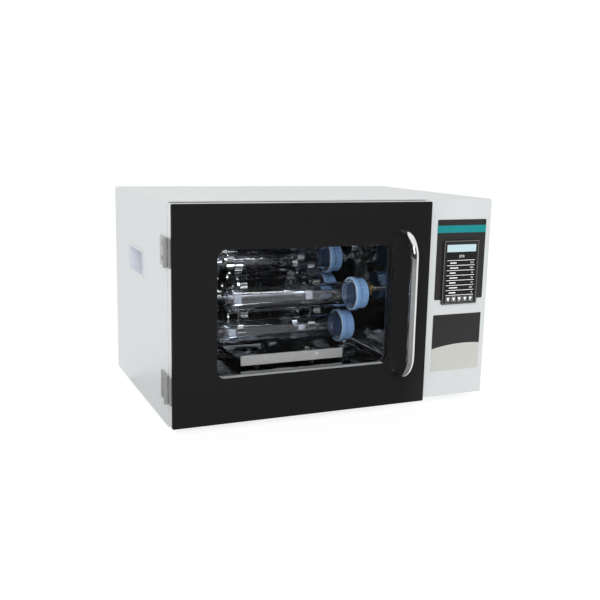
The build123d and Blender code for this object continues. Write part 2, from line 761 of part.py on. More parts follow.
# Carriage on two guide rods, with the crank's yoke slot
rod_y_places = (post_y[0] + 4.0, post_y[1] - 4.0)
carriage_x0 = post_x[0] - 16.0
carriage_x1 = post_x[1] + 16.0
carriage = soft_block(
    Axis.Z, 4.0, carriage_x0, carriage_x1, post_y[0] - 10.0, post_y[1] + 10.0, carriage_z, carriage_top,
)
yoke_half_w = crank_pin_r + yoke_gap
yoke_half_len = stroke + crank_pin_r + 2.0
carriage -= soft_block(
    Axis.Z, yoke_half_w - 0.1, crank_x - yoke_half_w, crank_x + yoke_half_w,
    crank_y - yoke_half_len, crank_y + yoke_half_len, carriage_z - 1, carriage_top + 1,
)
for y in rod_y_places:
    for x in post_x:
        lug = block(x - carriage_lug_w / 2, x + carriage_lug_w / 2, y - 8.0, y + 8.0, rod_z - 7.0, carriage_z)
        carriage += lug
    carriage -= rod_x(carriage_x0 - 1, carriage_x1 + 1, rod_r + running_fit, y, rod_z)
save("shaker_carriage", carriage, *tray_posts)
save("guide_rods", *[rod_x(rod_x0, rod_x1, rod_r, y, rod_z) for y in rod_y_places])


def rod_block(x, y):
    solid = block(x - block_w / 2, x + block_w / 2, y - block_d / 2, y + block_d / 2, pan_top, rod_z + 7.0)
    return solid - rod_x(x - block_w, x + block_w, rod_r, y, rod_z)


save("rod_blocks", *[
    rod_block(x, y) for x in (rod_x0 + block_w / 2, rod_x1 - block_w / 2) for y in rod_y_places
])

# Shaker gearmotor, crank disc and pin
crank_pin_top = carriage_z - crank_top_gap
crank_disc_z0 = pan_top + shaker_motor_h + 0.5
crank = rod_z_between(crank_disc_z0, crank_disc_z0 + crank_t, crank_r, crank_x, crank_y)
crank += rod_z_between(crank_disc_z0 + crank_t, crank_pin_top, crank_pin_r, crank_x, crank_y + stroke)
crank += rod_z_between(crank_disc_z0 - 8.0, crank_disc_z0, shaft_r, crank_x, crank_y)
save("shaker_crank", crank)
shaker_motor = rod_z_between(pan_top, pan_top + shaker_motor_h, shaker_motor_r, crank_x, crank_y)
shaker_motor = chamfer(shaker_motor.edges().filter_by(GeomType.CIRCLE).sort_by(Axis.Z)[-1], 1.5)
shaker_motor -= rod_z_between(crank_disc_z0 - 9.0, crank_disc_z0 + 1, shaft_r + running_fit, crank_x, crank_y)
save("shaker_motor", shaker_motor)

# Control fascia, overlays and touch screen
fascia = block(fascia_x0, cab_w, 0, sheet, 0, cab_h)
fascia = fillet(fascia.edges().filter_by(Axis.Y).group_by(Axis.Z)[-1].sort_by(Axis.X)[-1], shell_corner_r)
fascia -= block(bezel_x0 + 2, bezel_x1 - 2, -1, sheet + 1, bezel_z0 + 2, bezel_z1 - 2)
save("control_fascia", fascia)

upper = soft_block(Axis.Y, 1.5, overlay_x0, overlay_x1, -overlay_t, 0, upper_z0, upper_z1)
upper -= block(bezel_x0 - 0.05, bezel_x1 + 0.05, -1, 1, bezel_z0 - 20, bezel_z1 + 0.05)
save("upper_overlay", upper)
save("accent_stripe", block(overlay_x0, overlay_x1, -overlay_t - stripe_t, -overlay_t, stripe_z0, stripe_z1))

arch_mid_x = (overlay_x0 + overlay_x1) / 2 + 10.0
dark_lower = make_face([
    Line((overlay_x0, lower_z1), (overlay_x1, lower_z1)),
    Line((overlay_x1, lower_z1), (overlay_x1, arch_peak_z - 1.5)),
    ThreePointArc((overlay_x1, arch_peak_z - 1.5), (arch_mid_x, arch_peak_z), (overlay_x0, arch_corner_z)),
    Line((overlay_x0, arch_corner_z), (overlay_x0, lower_z1)),
])
dark_solid = Pos(0, 0, 0) * extrude(Plane.XZ * dark_lower, overlay_t)
save("lower_overlay", dark_solid)
light_lower = block(overlay_x0, overlay_x1, -overlay_t, 0, lower_z0, lower_z1 - 1) - dark_solid
save("lower_panel", light_lower)

bezel = soft_block(Axis.Y, 2.0, bezel_x0, bezel_x1, -bezel_proud, 0, bezel_z0, bezel_z1)
bezel += block(bezel_x0 + 2.2, bezel_x1 - 2.2, 0, bezel_behind, bezel_z0 + 2.2, bezel_z1 - 2.2)
bezel -= block(screen_x0, screen_x1, -bezel_proud - 1, -bezel_proud + screen_t + 0.4, screen_z0, screen_z1)
bezel -= block(screen_x0 + 3, screen_x1 - 3, 3.0, bezel_behind + 1, screen_z0 + 5, screen_z1 - 2)
save("screen_bezel", bezel)
screen_y = -bezel_proud + 0.4
save("touch_screen", block(screen_x0, screen_x1, screen_y, screen_y + screen_t, screen_z0, screen_z1))

# Control board behind the screen, and the power supply
board_y = bezel_behind
board = block(bezel_x0 - 6, bezel_x1 + 6, board_y, board_y + board_t, bezel_z0 - 30, bezel_z1 + 4)
for i, (dx, dz, w, h, d) in enumerate((
    (8, 24, 22, 22, 3), (44, 30, 14, 26, 6), (10, 66, 30, 10, 12), (50, 78, 12, 18, 9), (14, 100, 40, 12, 10),
)):
    board += block(bezel_x0 - 6 + dx, bezel_x0 - 6 + dx + w, board_y + board_t, board_y + board_t + d,
                   bezel_z0 - 30 + dz, bezel_z0 - 30 + dz + h)
save("control_board", board)

psu_x0 = partition_x + 22.0
psu_z0 = pan_top
psu = block(psu_x0, psu_x0 + 98.0, 210.0, 300.0, psu_z0, psu_z0 + 32.0)
for i in range(10):
    psu -= block(psu_x0 + 8 + i * 8.4, psu_x0 + 11 + i * 8.4, 222.0, 288.0, psu_z0 + 30.5, psu_z0 + 33.0)
save("power_supply", psu)

# Rear panel with vents, inlet and switch openings
rear = block(sheet + panel_gap, cab_w - sheet - panel_gap, rear_y0, cab_d, sheet + panel_gap,
             cab_h - sheet - panel_gap)
rear = fillet(rear.edges().filter_by(Axis.Y).group_by(Axis.Z)[-1], shell_corner_r - sheet)
vent_x0 = partition_x + 18.0
for row_z in (120.0, 180.0, 240.0):
    for i in range(12):
        x = vent_x0 + i * vent_pitch
        rear -= block(x, x + vent_slot_w, rear_y0 - 1, cab_d + 1, row_z, row_z + vent_slot_h)
for i in range(9):
    x = fan_x - 4 * vent_pitch - vent_slot_w / 2 + i * vent_pitch
    rear -= block(x, x + vent_slot_w, rear_y0 - 1, cab_d + 1, fan_z - vent_slot_h / 2, fan_z + vent_slot_h / 2)
rear -= block(inlet_x - inlet_w / 2, inlet_x + inlet_w / 2, rear_y0 - 1, cab_d + 1,
              inlet_z - inlet_h / 2, inlet_z + inlet_h / 2)
rear -= block(switch_x - switch_w / 2 - 2, switch_x + switch_w / 2 + 2, rear_y0 - 1, cab_d + 1,
              inlet_z - switch_h / 2 - 2, inlet_z + switch_h / 2 + 2)
for x, z in rear_screw_places:
    rear -= rod_y(rear_y0 - 1, cab_d + 1, screw_shank_r, x, z)
save("rear_panel", rear)
save("rear_screws", *[screw_y(x, cab_d, z, 1, screw_shank_r, 8.0, head_h=1.2) for x, z in rear_screw_places])

# Power inlet: a three-pin appliance socket
inlet_flange = 2.5
inlet = soft_block(Axis.Y, 2.0, inlet_x - inlet_w / 2 - 9, inlet_x + inlet_w / 2 + 9, cab_d, cab_d + inlet_flange,
                   inlet_z - inlet_h / 2 - 2.5, inlet_z + inlet_h / 2 + 2.5)
inlet += block(inlet_x - inlet_w / 2 + 0.1, inlet_x + inlet_w / 2 - 0.1, cab_d - inlet_depth, cab_d,
               inlet_z - inlet_h / 2 + 0.1, inlet_z + inlet_h / 2 - 0.1)
socket_depth = 16.5
inlet_socket = block(inlet_x - 12.0, inlet_x + 12.0, cab_d + inlet_flange - socket_depth, cab_d + inlet_flange + 1,
                     inlet_z - 8.0, inlet_z + 8.0)
inlet_socket = chamfer(inlet_socket.edges().filter_by(Axis.Y).group_by(Axis.Z)[-1], 4.5)
inlet -= inlet_socket
blade_places = [(inlet_x - 7.0, inlet_z - 2.0), (inlet_x, inlet_z + 2.0), (inlet_x + 7.0, inlet_z - 2.0)]
blade_half_w = 1.0
blade_half_h = 2.0
blade_y0 = cab_d + inlet_flange - socket_depth - 4.0


def inlet_blade(x, z, y1):
    return block(x - blade_half_w, x + blade_half_w, blade_y0, y1, z - blade_half_h, z + blade_half_h)


for x, z in blade_places:
    inlet -= inlet_blade(x, z, cab_d)
save("power_inlet", inlet, *[inlet_blade(x, z, cab_d - 2.0) for x, z in blade_places])

# Rocker switch
switch_wall = 1.5
switch_frame = soft_block(Axis.Y, 1.0, switch_x - switch_w / 2 - 4, switch_x + switch_w / 2 + 4, cab_d, cab_d + 2.0,
                          inlet_z - switch_h / 2 - 4, inlet_z + switch_h / 2 + 4)
switch_frame += block(switch_x - switch_w / 2 - 1.9, switch_x + switch_w / 2 + 1.9, cab_d - 20.0, cab_d,
                      inlet_z - switch_h / 2 - 1.9, inlet_z + switch_h / 2 + 1.9)
switch_frame -= block(switch_x - switch_w / 2, switch_x + switch_w / 2, cab_d - 14.0, cab_d + 3,
                      inlet_z - switch_h / 2, inlet_z + switch_h / 2)
rocker_axis_y = cab_d - 4.0
rocker_pin_r = 1.5
switch_frame -= rod_x(switch_x - switch_w / 2 - 1.0, switch_x + switch_w / 2 + 1.0, rocker_pin_r + running_fit,
                      rocker_axis_y, inlet_z)
save("switch_frame", switch_frame)

rocker_tilt = 10.0
rocker_half_w = switch_w / 2 - 0.3
rocker_half_h = switch_h / 2 - 0.9


def rocker():
    """A rocker that rests tilted to its off side; its joint turns it across to on."""
    top_y = 4.5
    profile = make_face([
        Line((-4.0, -4.0), (top_y, -rocker_half_h)),
        ThreePointArc((top_y, -rocker_half_h), (top_y - 2.6, 0), (top_y, rocker_half_h)),
        Line((top_y, rocker_half_h), (-4.0, 4.0)),
        Line((-4.0, 4.0), (-4.0, -4.0)),
    ])
    solid = extrude(Plane.YZ * profile, rocker_half_w, both=True)
    solid += rod_x(-switch_w / 2 - 0.8, switch_w / 2 + 0.8, rocker_pin_r, 0, 0)
    return Pos(switch_x, rocker_axis_y, inlet_z) * Rot(rocker_tilt, 0, 0) * solid


save("rocker", rocker())


# Carry handles: moulded pockets in both side walls
def pocket(x_wall, outward):
    """A pocket with a flange outside and a cup that goes through the wall."""
    def side_block(depth0, depth1, grow, r):
        a = x_wall + outward * depth0
        b = x_wall + outward * depth1
        return soft_block(Axis.X, r, min(a, b), max(a, b), pocket_y0 - grow, pocket_y1 + grow,
                          pocket_z0 - grow, pocket_z1 + grow)
    flange = side_block(0, pocket_flange, 0, pocket_r + 1)
    cup = side_block(-pocket_depth - pocket_wall, 0, -pocket_flange, pocket_r)
    hollow = side_block(-pocket_depth, pocket_flange + 1, -pocket_flange - pocket_wall, pocket_r - pocket_wall)
    solid = flange + cup - hollow
    finger_a = x_wall - outward * pocket_depth
    finger_b = x_wall - outward * (pocket_wall + 3.0)
    return solid - soft_block(
        Axis.X, 3.0, min(finger_a, finger_b), max(finger_a, finger_b), pocket_y0 + 12, pocket_y1 - 12,
        pocket_z1 - 12.0, pocket_z1 - pocket_flange - 0.8,
    )


save("carry_handles", pocket(0, -1), pocket(cab_w, 1))


# Door
def window_block(grow, y0, y1):
    return soft_block(Axis.Y, window_r + grow, window_x0 - grow, window_x1 + grow, y0, y1,
                      window_z0 - grow, window_z1 + grow)


handle_feet = (handle_z + handle_straight / 2 + handle_bend_r, handle_z - handle_straight / 2 - handle_bend_r)
inner_pane_y0 = door_back_y - door_liner_t - inner_pane_t
liner_ring_y0 = door_back_y - door_liner_t
door_frame = soft_block(Axis.Y, 2.0, 0, door_w, door_mid_y, door_back_y, door_z0, door_z1)
door_frame -= window_block(0, door_mid_y - 1, door_back_y + 1)
door_frame -= window_block(inner_pane_lap, inner_pane_y0, door_back_y + 1)
door_liner_x0 = door_liner_margin
door_liner_x1 = door_w - 8.0
door_liner_z0 = door_z0 + door_liner_margin
door_liner_z1 = door_z1 - door_liner_margin
door_frame -= soft_block(Axis.Y, 6.0, door_liner_x0, door_liner_x1, liner_ring_y0, door_back_y + 1,
                         door_liner_z0, door_liner_z1)
screw_bore_r = handle_screw_r + 0.2
for z in handle_feet:
    door_frame -= rod_y(door_mid_y - 1, door_back_y + 1, screw_bore_r, handle_x, z)
    door_frame -= rod_y(door_back_y - handle_bore_depth, door_back_y + 1, handle_head_r + 0.6, handle_x, z)
save("door_frame", door_frame)

door_liner = soft_block(Axis.Y, 5.9, door_liner_x0 + 0.1, door_liner_x1 - 0.1, liner_ring_y0, door_back_y,
                        door_liner_z0 + 0.1, door_liner_z1 - 0.1)
door_liner -= window_block(0, liner_ring_y0 - 1, door_back_y + 1)
for z in handle_feet:
    door_liner -= rod_y(liner_ring_y0 - 1, door_back_y + 1, handle_head_r + 0.6, handle_x, z)
save("door_liner", door_liner)

inner_pane = window_block(inner_pane_lap - pane_gap, inner_pane_y0, liner_ring_y0)
save("inner_pane", inner_pane)

door_glass = soft_block(Axis.Y, 2.0, 0, door_w, door_front_y, door_mid_y, door_z0, door_z1)
door_glass -= window_block(0, door_front_y - 1, door_mid_y + 1)
for z in handle_feet:
    door_glass -= rod_y(door_front_y - 1, door_mid_y + 1, screw_bore_r, handle_x, z)
save("door_glass_border", door_glass)
save("window_pane", window_block(0, door_front_y, door_mid_y))

# Bow handle: two quarter bends and a straight grip, all with one rounded section
half_straight = handle_straight / 2
top_centre = (handle_x, door_front_y, handle_z + half_straight)
low_centre = (handle_x, door_front_y, handle_z - half_straight)
grip_section = RectangleRounded(handle_w, handle_t, 2.5)
top_section = Plane(
    (handle_x, door_front_y, top_centre[2] + handle_bend_r), x_dir=(1, 0, 0), z_dir=(0, -1, 0),
) * grip_section
straight_section = Plane(
    (handle_x, grip_y, top_centre[2]), x_dir=(1, 0, 0), z_dir=(0, 0, -1),
) * grip_section
low_section = Plane((handle_x, grip_y, low_centre[2]), x_dir=(1, 0, 0), z_dir=(0, 0, -1)) * grip_section
grip = extrude(straight_section, handle_straight)
grip += revolve(top_section, Axis(top_centre, (1, 0, 0)), 90)
grip += revolve(low_section, Axis(low_centre, (1, 0, 0)), 90)
for z in handle_feet:
    grip -= rod_y(door_front_y - handle_thread, door_front_y + 1, handle_screw_r, handle_x, z)
save("door_handle", grip)
save("handle_screws", *[
    screw_y(handle_x, door_back_y - handle_bore_depth, z, 1, handle_screw_r,
            door_frame_t - handle_bore_depth + glass_t + handle_thread,
            head_r=handle_head_r, head_h=handle_bore_depth / 2)
    for z in handle_feet
])

# Hinges
axis_x = -hinge_axis_off
axis_y = -hinge_axis_off
knuckle_h = (hinge_h - 2 * hinge_knuckle_gap) / 3
leaf_y0 = 2.0


def knuckle(z0, z1):
    """One rolled eye with the web that joins it to its leaf's plane."""
    return rod_z_between(z0, z1, hinge_knuckle_r, axis_x, axis_y)


def eye_bore(z0, z1, gap):
    return rod_z_between(z0 - 1, z1 + 1, hinge_pin_r + gap, axis_x, axis_y)


def cabinet_leaf(mid_z):
    z0 = mid_z - hinge_h / 2
    z1 = mid_z + hinge_h / 2
    leaf = soft_block(Axis.X, 3.0, -hinge_leaf_t, 0, leaf_y0, leaf_y0 + hinge_leaf_len, z0, z1)
    for a, b in ((z0, z0 + knuckle_h), (z1 - knuckle_h, z1)):
        leaf += block(-hinge_leaf_t, 0, axis_y, leaf_y0 + 6, a, b)
        leaf += knuckle(a, b)
        leaf -= block(0, 10, axis_y - 10, axis_y + 10, a, b)
        leaf -= eye_bore(a, b, 0)
    return leaf


def door_leaf(mid_z):
    z0 = mid_z - hinge_h / 2
    z1 = mid_z + hinge_h / 2
    a = z0 + knuckle_h + hinge_knuckle_gap
    b = z1 - knuckle_h - hinge_knuckle_gap
    leaf = soft_block(Axis.X, 1.0, -hinge_leaf_t, 0, door_mid_y, axis_y - hinge_knuckle_r - 1.0, z0, z1)
    leaf += block(-hinge_leaf_t, 0, axis_y - hinge_knuckle_r - 2.0, axis_y, a, b)
    leaf += knuckle(a, b)
    leaf -= block(0, 10, axis_y - 10, axis_y + 10, a, b)
    return leaf - eye_bore(a, b, hinge_fit)


hinge_places = (hinge_top_z, hinge_bottom_z)
hinge_pins = [
    rod_z_between(z - hinge_h / 2 - 0.5, z + hinge_h / 2 + 0.5, hinge_pin_r, axis_x, axis_y) for z in hinge_places
]
save("hinge_cabinet_leaves", *[cabinet_leaf(z) for z in hinge_places], *hinge_pins)
save("hinge_door_leaves", *[door_leaf(z) for z in hinge_places])
hinge_screw_y = leaf_y0 + hinge_leaf_len * 0.62
save("hinge_screws", *[
    rod_x(-hinge_leaf_t - screw_head_h, -hinge_leaf_t, screw_head_r, hinge_screw_y, z + dz)
    for z in hinge_places
    for dz in (-hinge_h / 4, hinge_h / 4)
])
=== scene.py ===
import math

import bmesh
import bpy
from mathutils import Matrix, Vector


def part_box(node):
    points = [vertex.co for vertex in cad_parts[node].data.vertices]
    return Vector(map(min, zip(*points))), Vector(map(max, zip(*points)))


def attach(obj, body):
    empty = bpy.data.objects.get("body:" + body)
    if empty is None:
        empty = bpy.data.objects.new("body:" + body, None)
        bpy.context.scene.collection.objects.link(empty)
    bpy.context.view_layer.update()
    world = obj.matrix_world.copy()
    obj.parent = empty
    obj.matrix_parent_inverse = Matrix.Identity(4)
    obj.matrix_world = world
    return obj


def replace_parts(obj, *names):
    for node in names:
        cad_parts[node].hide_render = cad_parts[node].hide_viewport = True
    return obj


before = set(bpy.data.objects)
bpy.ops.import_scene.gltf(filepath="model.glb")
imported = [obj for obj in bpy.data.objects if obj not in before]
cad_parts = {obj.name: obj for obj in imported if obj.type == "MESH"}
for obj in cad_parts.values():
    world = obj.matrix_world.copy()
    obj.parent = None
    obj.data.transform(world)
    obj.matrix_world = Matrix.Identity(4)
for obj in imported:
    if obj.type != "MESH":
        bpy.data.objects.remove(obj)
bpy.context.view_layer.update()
MM = 0.001

# The outer shell's front left bottom corner, from which places are given
ORIGIN = Vector(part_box("outer_shell")[0])


def at(x, y, z):
    """A place given in millimetres from the cabinet's front left bottom corner."""
    return ORIGIN + Vector((x, y, z)) * MM


# Helpers that build the materials' nodes
def new_material(name):
    material = bpy.data.materials.new(name)
    material.use_nodes = True
    nodes = material.node_tree.nodes
    nodes.clear()
    out = nodes.new("ShaderNodeOutputMaterial")
    shader = nodes.new("ShaderNodeBsdfPrincipled")
    material.node_tree.links.new(shader.outputs[0], out.inputs[0])
    return material, nodes, material.node_tree.links, shader


def object_coords(nodes, links, scale=(1, 1, 1)):
    coords = nodes.new("ShaderNodeTexCoord")
    mapping = nodes.new("ShaderNodeMapping")
    mapping.inputs["Scale"].default_value = scale
    links.new(coords.outputs["Object"], mapping.inputs["Vector"])
    return mapping.outputs["Vector"]


def noise(nodes, links, vector, scale, detail=3.0, rough=0.55):
    tex = nodes.new("ShaderNodeTexNoise")
    tex.inputs["Scale"].default_value = scale
    tex.inputs["Detail"].default_value = detail
    tex.inputs["Roughness"].default_value = rough
    links.new(vector, tex.inputs["Vector"])
    return tex.outputs["Fac"]


def spread(nodes, links, fac, low, high, from_low=0.3, from_high=0.7):
    """A 0 to 1 value stretched to low..high."""
    node = nodes.new("ShaderNodeMapRange")
    node.inputs["From Min"].default_value = from_low
    node.inputs["From Max"].default_value = from_high
    node.inputs["To Min"].default_value = low
    node.inputs["To Max"].default_value = high
    links.new(fac, node.inputs["Value"])
    return node.outputs["Result"]


def two_tone(nodes, links, fac, dark, light):
    ramp = nodes.new("ShaderNodeValToRGB")
    ramp.color_ramp.elements[0].position = 0.35
    ramp.color_ramp.elements[0].color = (*dark, 1)
    ramp.color_ramp.elements[1].position = 0.65
    ramp.color_ramp.elements[1].color = (*light, 1)
    links.new(fac, ramp.inputs["Fac"])
    return ramp.outputs["Color"]


def add_bump(nodes, links, shader, height, strength, distance, edge_mm=0.0):
    bump = nodes.new("ShaderNodeBump")
    bump.inputs["Strength"].default_value = strength
    bump.inputs["Distance"].default_value = distance
    links.new(height, bump.inputs["Height"])
    if edge_mm:
        bevel = nodes.new("ShaderNodeBevel")
        bevel.samples = 4
        bevel.inputs["Radius"].default_value = edge_mm * MM
        links.new(bevel.outputs["Normal"], bump.inputs["Normal"])
    links.new(bump.outputs["Normal"], shader.inputs["Normal"])


def shaded(color, amount):
    return tuple(c * amount for c in color)


def painted(name, color, rough, grain=900.0, strength=0.05, metal=0.0, specular=0.5, edge_mm=0.5, coat=0.0):
    """Paint, powder coat or moulded plastic: fine grain, slight cloudiness and rounded edges."""
    material, nodes, links, shader = new_material(name)
    vector = object_coords(nodes, links)
    fine = noise(nodes, links, vector, grain, 2.0)
    cloud = noise(nodes, links, vector, 9.0, 4.0)
    links.new(two_tone(nodes, links, cloud, shaded(color, 0.965), color), shader.inputs["Base Color"])
    links.new(spread(nodes, links, cloud, rough * 0.88, rough * 1.12), shader.inputs["Roughness"])
    shader.inputs["Metallic"].default_value = metal
    shader.inputs["Specular IOR Level"].default_value = specular
    shader.inputs["Coat Weight"].default_value = coat
    add_bump(nodes, links, shader, fine, strength, 0.0002, edge_mm)
    return material


def brushed(name, color, rough, along=(1.0, 60.0, 60.0), strength=0.06, edge_mm=0.3, metal=1.0):
    """Brushed sheet metal: long scratches along one axis."""
    material, nodes, links, shader = new_material(name)
    vector = object_coords(nodes, links, along)
    lines = noise(nodes, links, vector, 60.0, 4.0, 0.6)
    links.new(two_tone(nodes, links, lines, shaded(color, 0.86), color), shader.inputs["Base Color"])
    links.new(spread(nodes, links, lines, rough * 0.75, rough * 1.3), shader.inputs["Roughness"])
    shader.inputs["Metallic"].default_value = metal
    add_bump(nodes, links, shader, lines, strength, 0.0001, edge_mm)
    return material


def polished(name, color, rough, wave=0.02, scale=18.0, edge_mm=0.3):
    """Mirror-polished metal with the slight waviness of real sheet."""
    material, nodes, links, shader = new_material(name)
    vector = object_coords(nodes, links)
    ripple = noise(nodes, links, vector, scale, 2.0)
    smear = noise(nodes, links, vector, 60.0, 3.0)
    links.new(two_tone(nodes, links, smear, shaded(color, 0.93), color), shader.inputs["Base Color"])
    links.new(spread(nodes, links, smear, rough * 0.6, rough * 1.5), shader.inputs["Roughness"])
    shader.inputs["Metallic"].default_value = 1.0
    add_bump(nodes, links, shader, ripple, wave, 0.004, edge_mm)
    return material


def thin_glass(name, tint, ior, rough=0.02, least=0.02):
    """Clear sheet glass: what it doesn't reflect goes straight through."""
    material, nodes, links, shader = new_material(name)
    shader.inputs["Base Color"].default_value = (*tint, 1)
    shader.inputs["Metallic"].default_value = 1.0
    vector = object_coords(nodes, links)
    smear = noise(nodes, links, vector, 25.0, 3.0)
    links.new(spread(nodes, links, smear, rough * 0.6, rough * 1.6), shader.inputs["Roughness"])
    fresnel = nodes.new("ShaderNodeFresnel")
    fresnel.inputs["IOR"].default_value = ior
    links.new(spread(nodes, links, fresnel.outputs["Fac"], least, 1.0, 0.0, 1.0), shader.inputs["Alpha"])
    return material


def clear_glass(name, tint, ior=1.47, rough=0.015):
    """Solid borosilicate glass that bends light, with faint smears."""
    material, nodes, links, shader = new_material(name)
    vector = object_coords(nodes, links)
    smear = noise(nodes, links, vector, 40.0, 3.0)
    links.new(two_tone(nodes, links, smear, shaded(tint, 0.97), tint), shader.inputs["Base Color"])
    links.new(spread(nodes, links, smear, 0.0, rough), shader.inputs["Roughness"])
    shader.inputs["Transmission Weight"].default_value = 1.0
    shader.inputs["IOR"].default_value = ior
    return material


def lit(name, color, strength):
    """A printed or glowing mark on the screen, with a fine pixel grain."""
    material, nodes, links, shader = new_material(name)
    vector = object_coords(nodes, links)
    pixels = noise(nodes, links, vector, 4000.0, 1.0)
    tone = two_tone(nodes, links, pixels, shaded(color, 0.92), color)
    links.new(tone, shader.inputs["Base Color"])
    links.new(tone, shader.inputs["Emission Color"])
    shader.inputs["Emission Strength"].default_value = strength
    shader.inputs["Roughness"].default_value = 0.35
    return material


WHITE = (0.735, 0.765, 0.768)
materials = {
    "enamel": painted("enamel", WHITE, 0.36, 1400.0, 0.05, specular=0.35),
    "enamel_door": painted("enamel_door", (0.74, 0.76, 0.765), 0.34, 1400.0, 0.05),
    "duct_steel": polished("duct_steel", (0.20, 0.205, 0.21), 0.04, 0.45, 30.0),
    "galvanized": brushed("galvanized", (0.52, 0.54, 0.56), 0.42, (6.0, 6.0, 6.0), 0.03),
    "stainless": brushed("stainless", (0.60, 0.61, 0.62), 0.28),
    "bar_steel": brushed("bar_steel", (0.86, 0.87, 0.86), 0.36, (1.0, 90.0, 90.0), 0.10, metal=0.35),
    "mirror": polished("mirror", (0.36, 0.37, 0.38), 0.04, 0.35, 24.0),
    "clip_steel": polished("clip_steel", (0.60, 0.62, 0.63), 0.08, 0.05, 40.0),
    "hinge_steel": painted("hinge_steel", (0.42, 0.425, 0.43), 0.34, 700.0, 0.06, metal=0.35, edge_mm=0.3),
    "chrome": polished("chrome", (0.80, 0.81, 0.82), 0.06, 0.01, 30.0, 0.5),
    "black_glass": painted(
        "black_glass", (0.0150, 0.0142, 0.0146), 0.06, 300.0, 0.0, specular=0.10, edge_mm=0.6,
    ),
    "pane": thin_glass("pane", (0.9, 0.96, 0.95), 1.10, least=0.0),
    "bottle_glass": clear_glass("bottle_glass", (0.90, 0.92, 0.96)),
    "cap": painted("cap", (0.260, 0.460, 0.800), 0.30, 500.0, 0.03, edge_mm=0.6, coat=0.3),
    # Paler blue for the ring on each cap's rim: painted highlight
    "cap_rim_highlight": painted("cap_rim_highlight", (0.52, 0.66, 0.86), 0.28, 500.0, 0.03, edge_mm=0.3, coat=0.3),
    # Dark blue for the band in each cap's groove: painted shade
    "cap_groove_shade": painted("cap_groove_shade", (0.030, 0.060, 0.130), 0.5, 500.0, 0.03, edge_mm=0.2),
    # Pale satin steel for the tray bar's screws; on the liner's seam its brightness is a painted highlight
    "bright_steel_and_seam_highlight": brushed("bright_steel_and_seam_highlight", (0.90, 0.91, 0.91), 0.25, (60.0, 6.0, 6.0), 0.04, metal=0.15),
    "cap_seal": painted("cap_seal", (0.58, 0.61, 0.76), 0.35, 600.0, 0.04, edge_mm=0.2),
    # Black for the window reveal's sheet: painted shade
    "reveal_painted_shade": painted(
        "reveal_painted_shade", (0.012, 0.012, 0.012), 0.4, 900.0, 0.05, specular=0.2, edge_mm=0.1,
    ),
    "screen_blue": lit("screen_blue", (0.50, 0.66, 0.70), 0.25),
    "screen_white": lit("screen_white", (0.86, 0.88, 0.86), 0.55),
    "screen_grey": lit("screen_grey", (0.26, 0.27, 0.27), 0.25),
    # Grey for the line round the bezel's edge: painted highlight
    "bezel_painted_highlight": painted(
        "bezel_painted_highlight", (0.22, 0.22, 0.22), 0.4, 2000.0, 0.05, specular=0.3, edge_mm=0.1,
    ),
    "overlay_dark": painted(
        "overlay_dark", (0.027, 0.025, 0.025), 0.38, 2600.0, 0.08, specular=0.25, edge_mm=0.1,
    ),
    "overlay_grey": painted(
        "overlay_grey", (0.640, 0.640, 0.600), 0.42, 2600.0, 0.08, specular=0.3, edge_mm=0.1,
    ),
    "teal": painted("teal", (0.002, 0.290, 0.310), 0.36, 2600.0, 0.06, specular=0.3, edge_mm=0.1),
    "screen_glass": painted(
        "screen_glass", (0.006, 0.006, 0.008), 0.10, 300.0, 0.0, specular=0.2, edge_mm=0.1,
    ),
    "black_plastic": painted("black_plastic", (0.022, 0.021, 0.022), 0.42, 1800.0, 0.10, specular=0.3),
    # The pockets' own pale grey-blue, lifted paler than the enamel as painted light where they fall in shade
    "pocket_tone_and_painted_light": painted("pocket_tone_and_painted_light", (0.78, 0.81, 0.86), 0.45, 1600.0, 0.08),
    "rubber": painted("rubber", (0.020, 0.020, 0.021), 0.7, 1200.0, 0.15, specular=0.3),
    "silicone": painted("silicone", (0.40, 0.41, 0.42), 0.6, 900.0, 0.1, specular=0.3),
    "wool": painted("wool", (0.70, 0.66, 0.52), 0.95, 260.0, 0.8, specular=0.1),
    "motor": painted("motor", (0.035, 0.036, 0.040), 0.45, 1000.0, 0.08),
    "board": painted("board", (0.015, 0.12, 0.05), 0.4, 500.0, 0.2, edge_mm=0.2),
    "bronze": brushed("bronze", (0.55, 0.38, 0.18), 0.38, (8.0, 8.0, 8.0), 0.05),
    "shaft": brushed("shaft", (0.56, 0.57, 0.58), 0.22, (60.0, 6.0, 6.0), 0.03),
    "magnet": painted("magnet", (0.05, 0.05, 0.055), 0.6, 1200.0, 0.1),
}

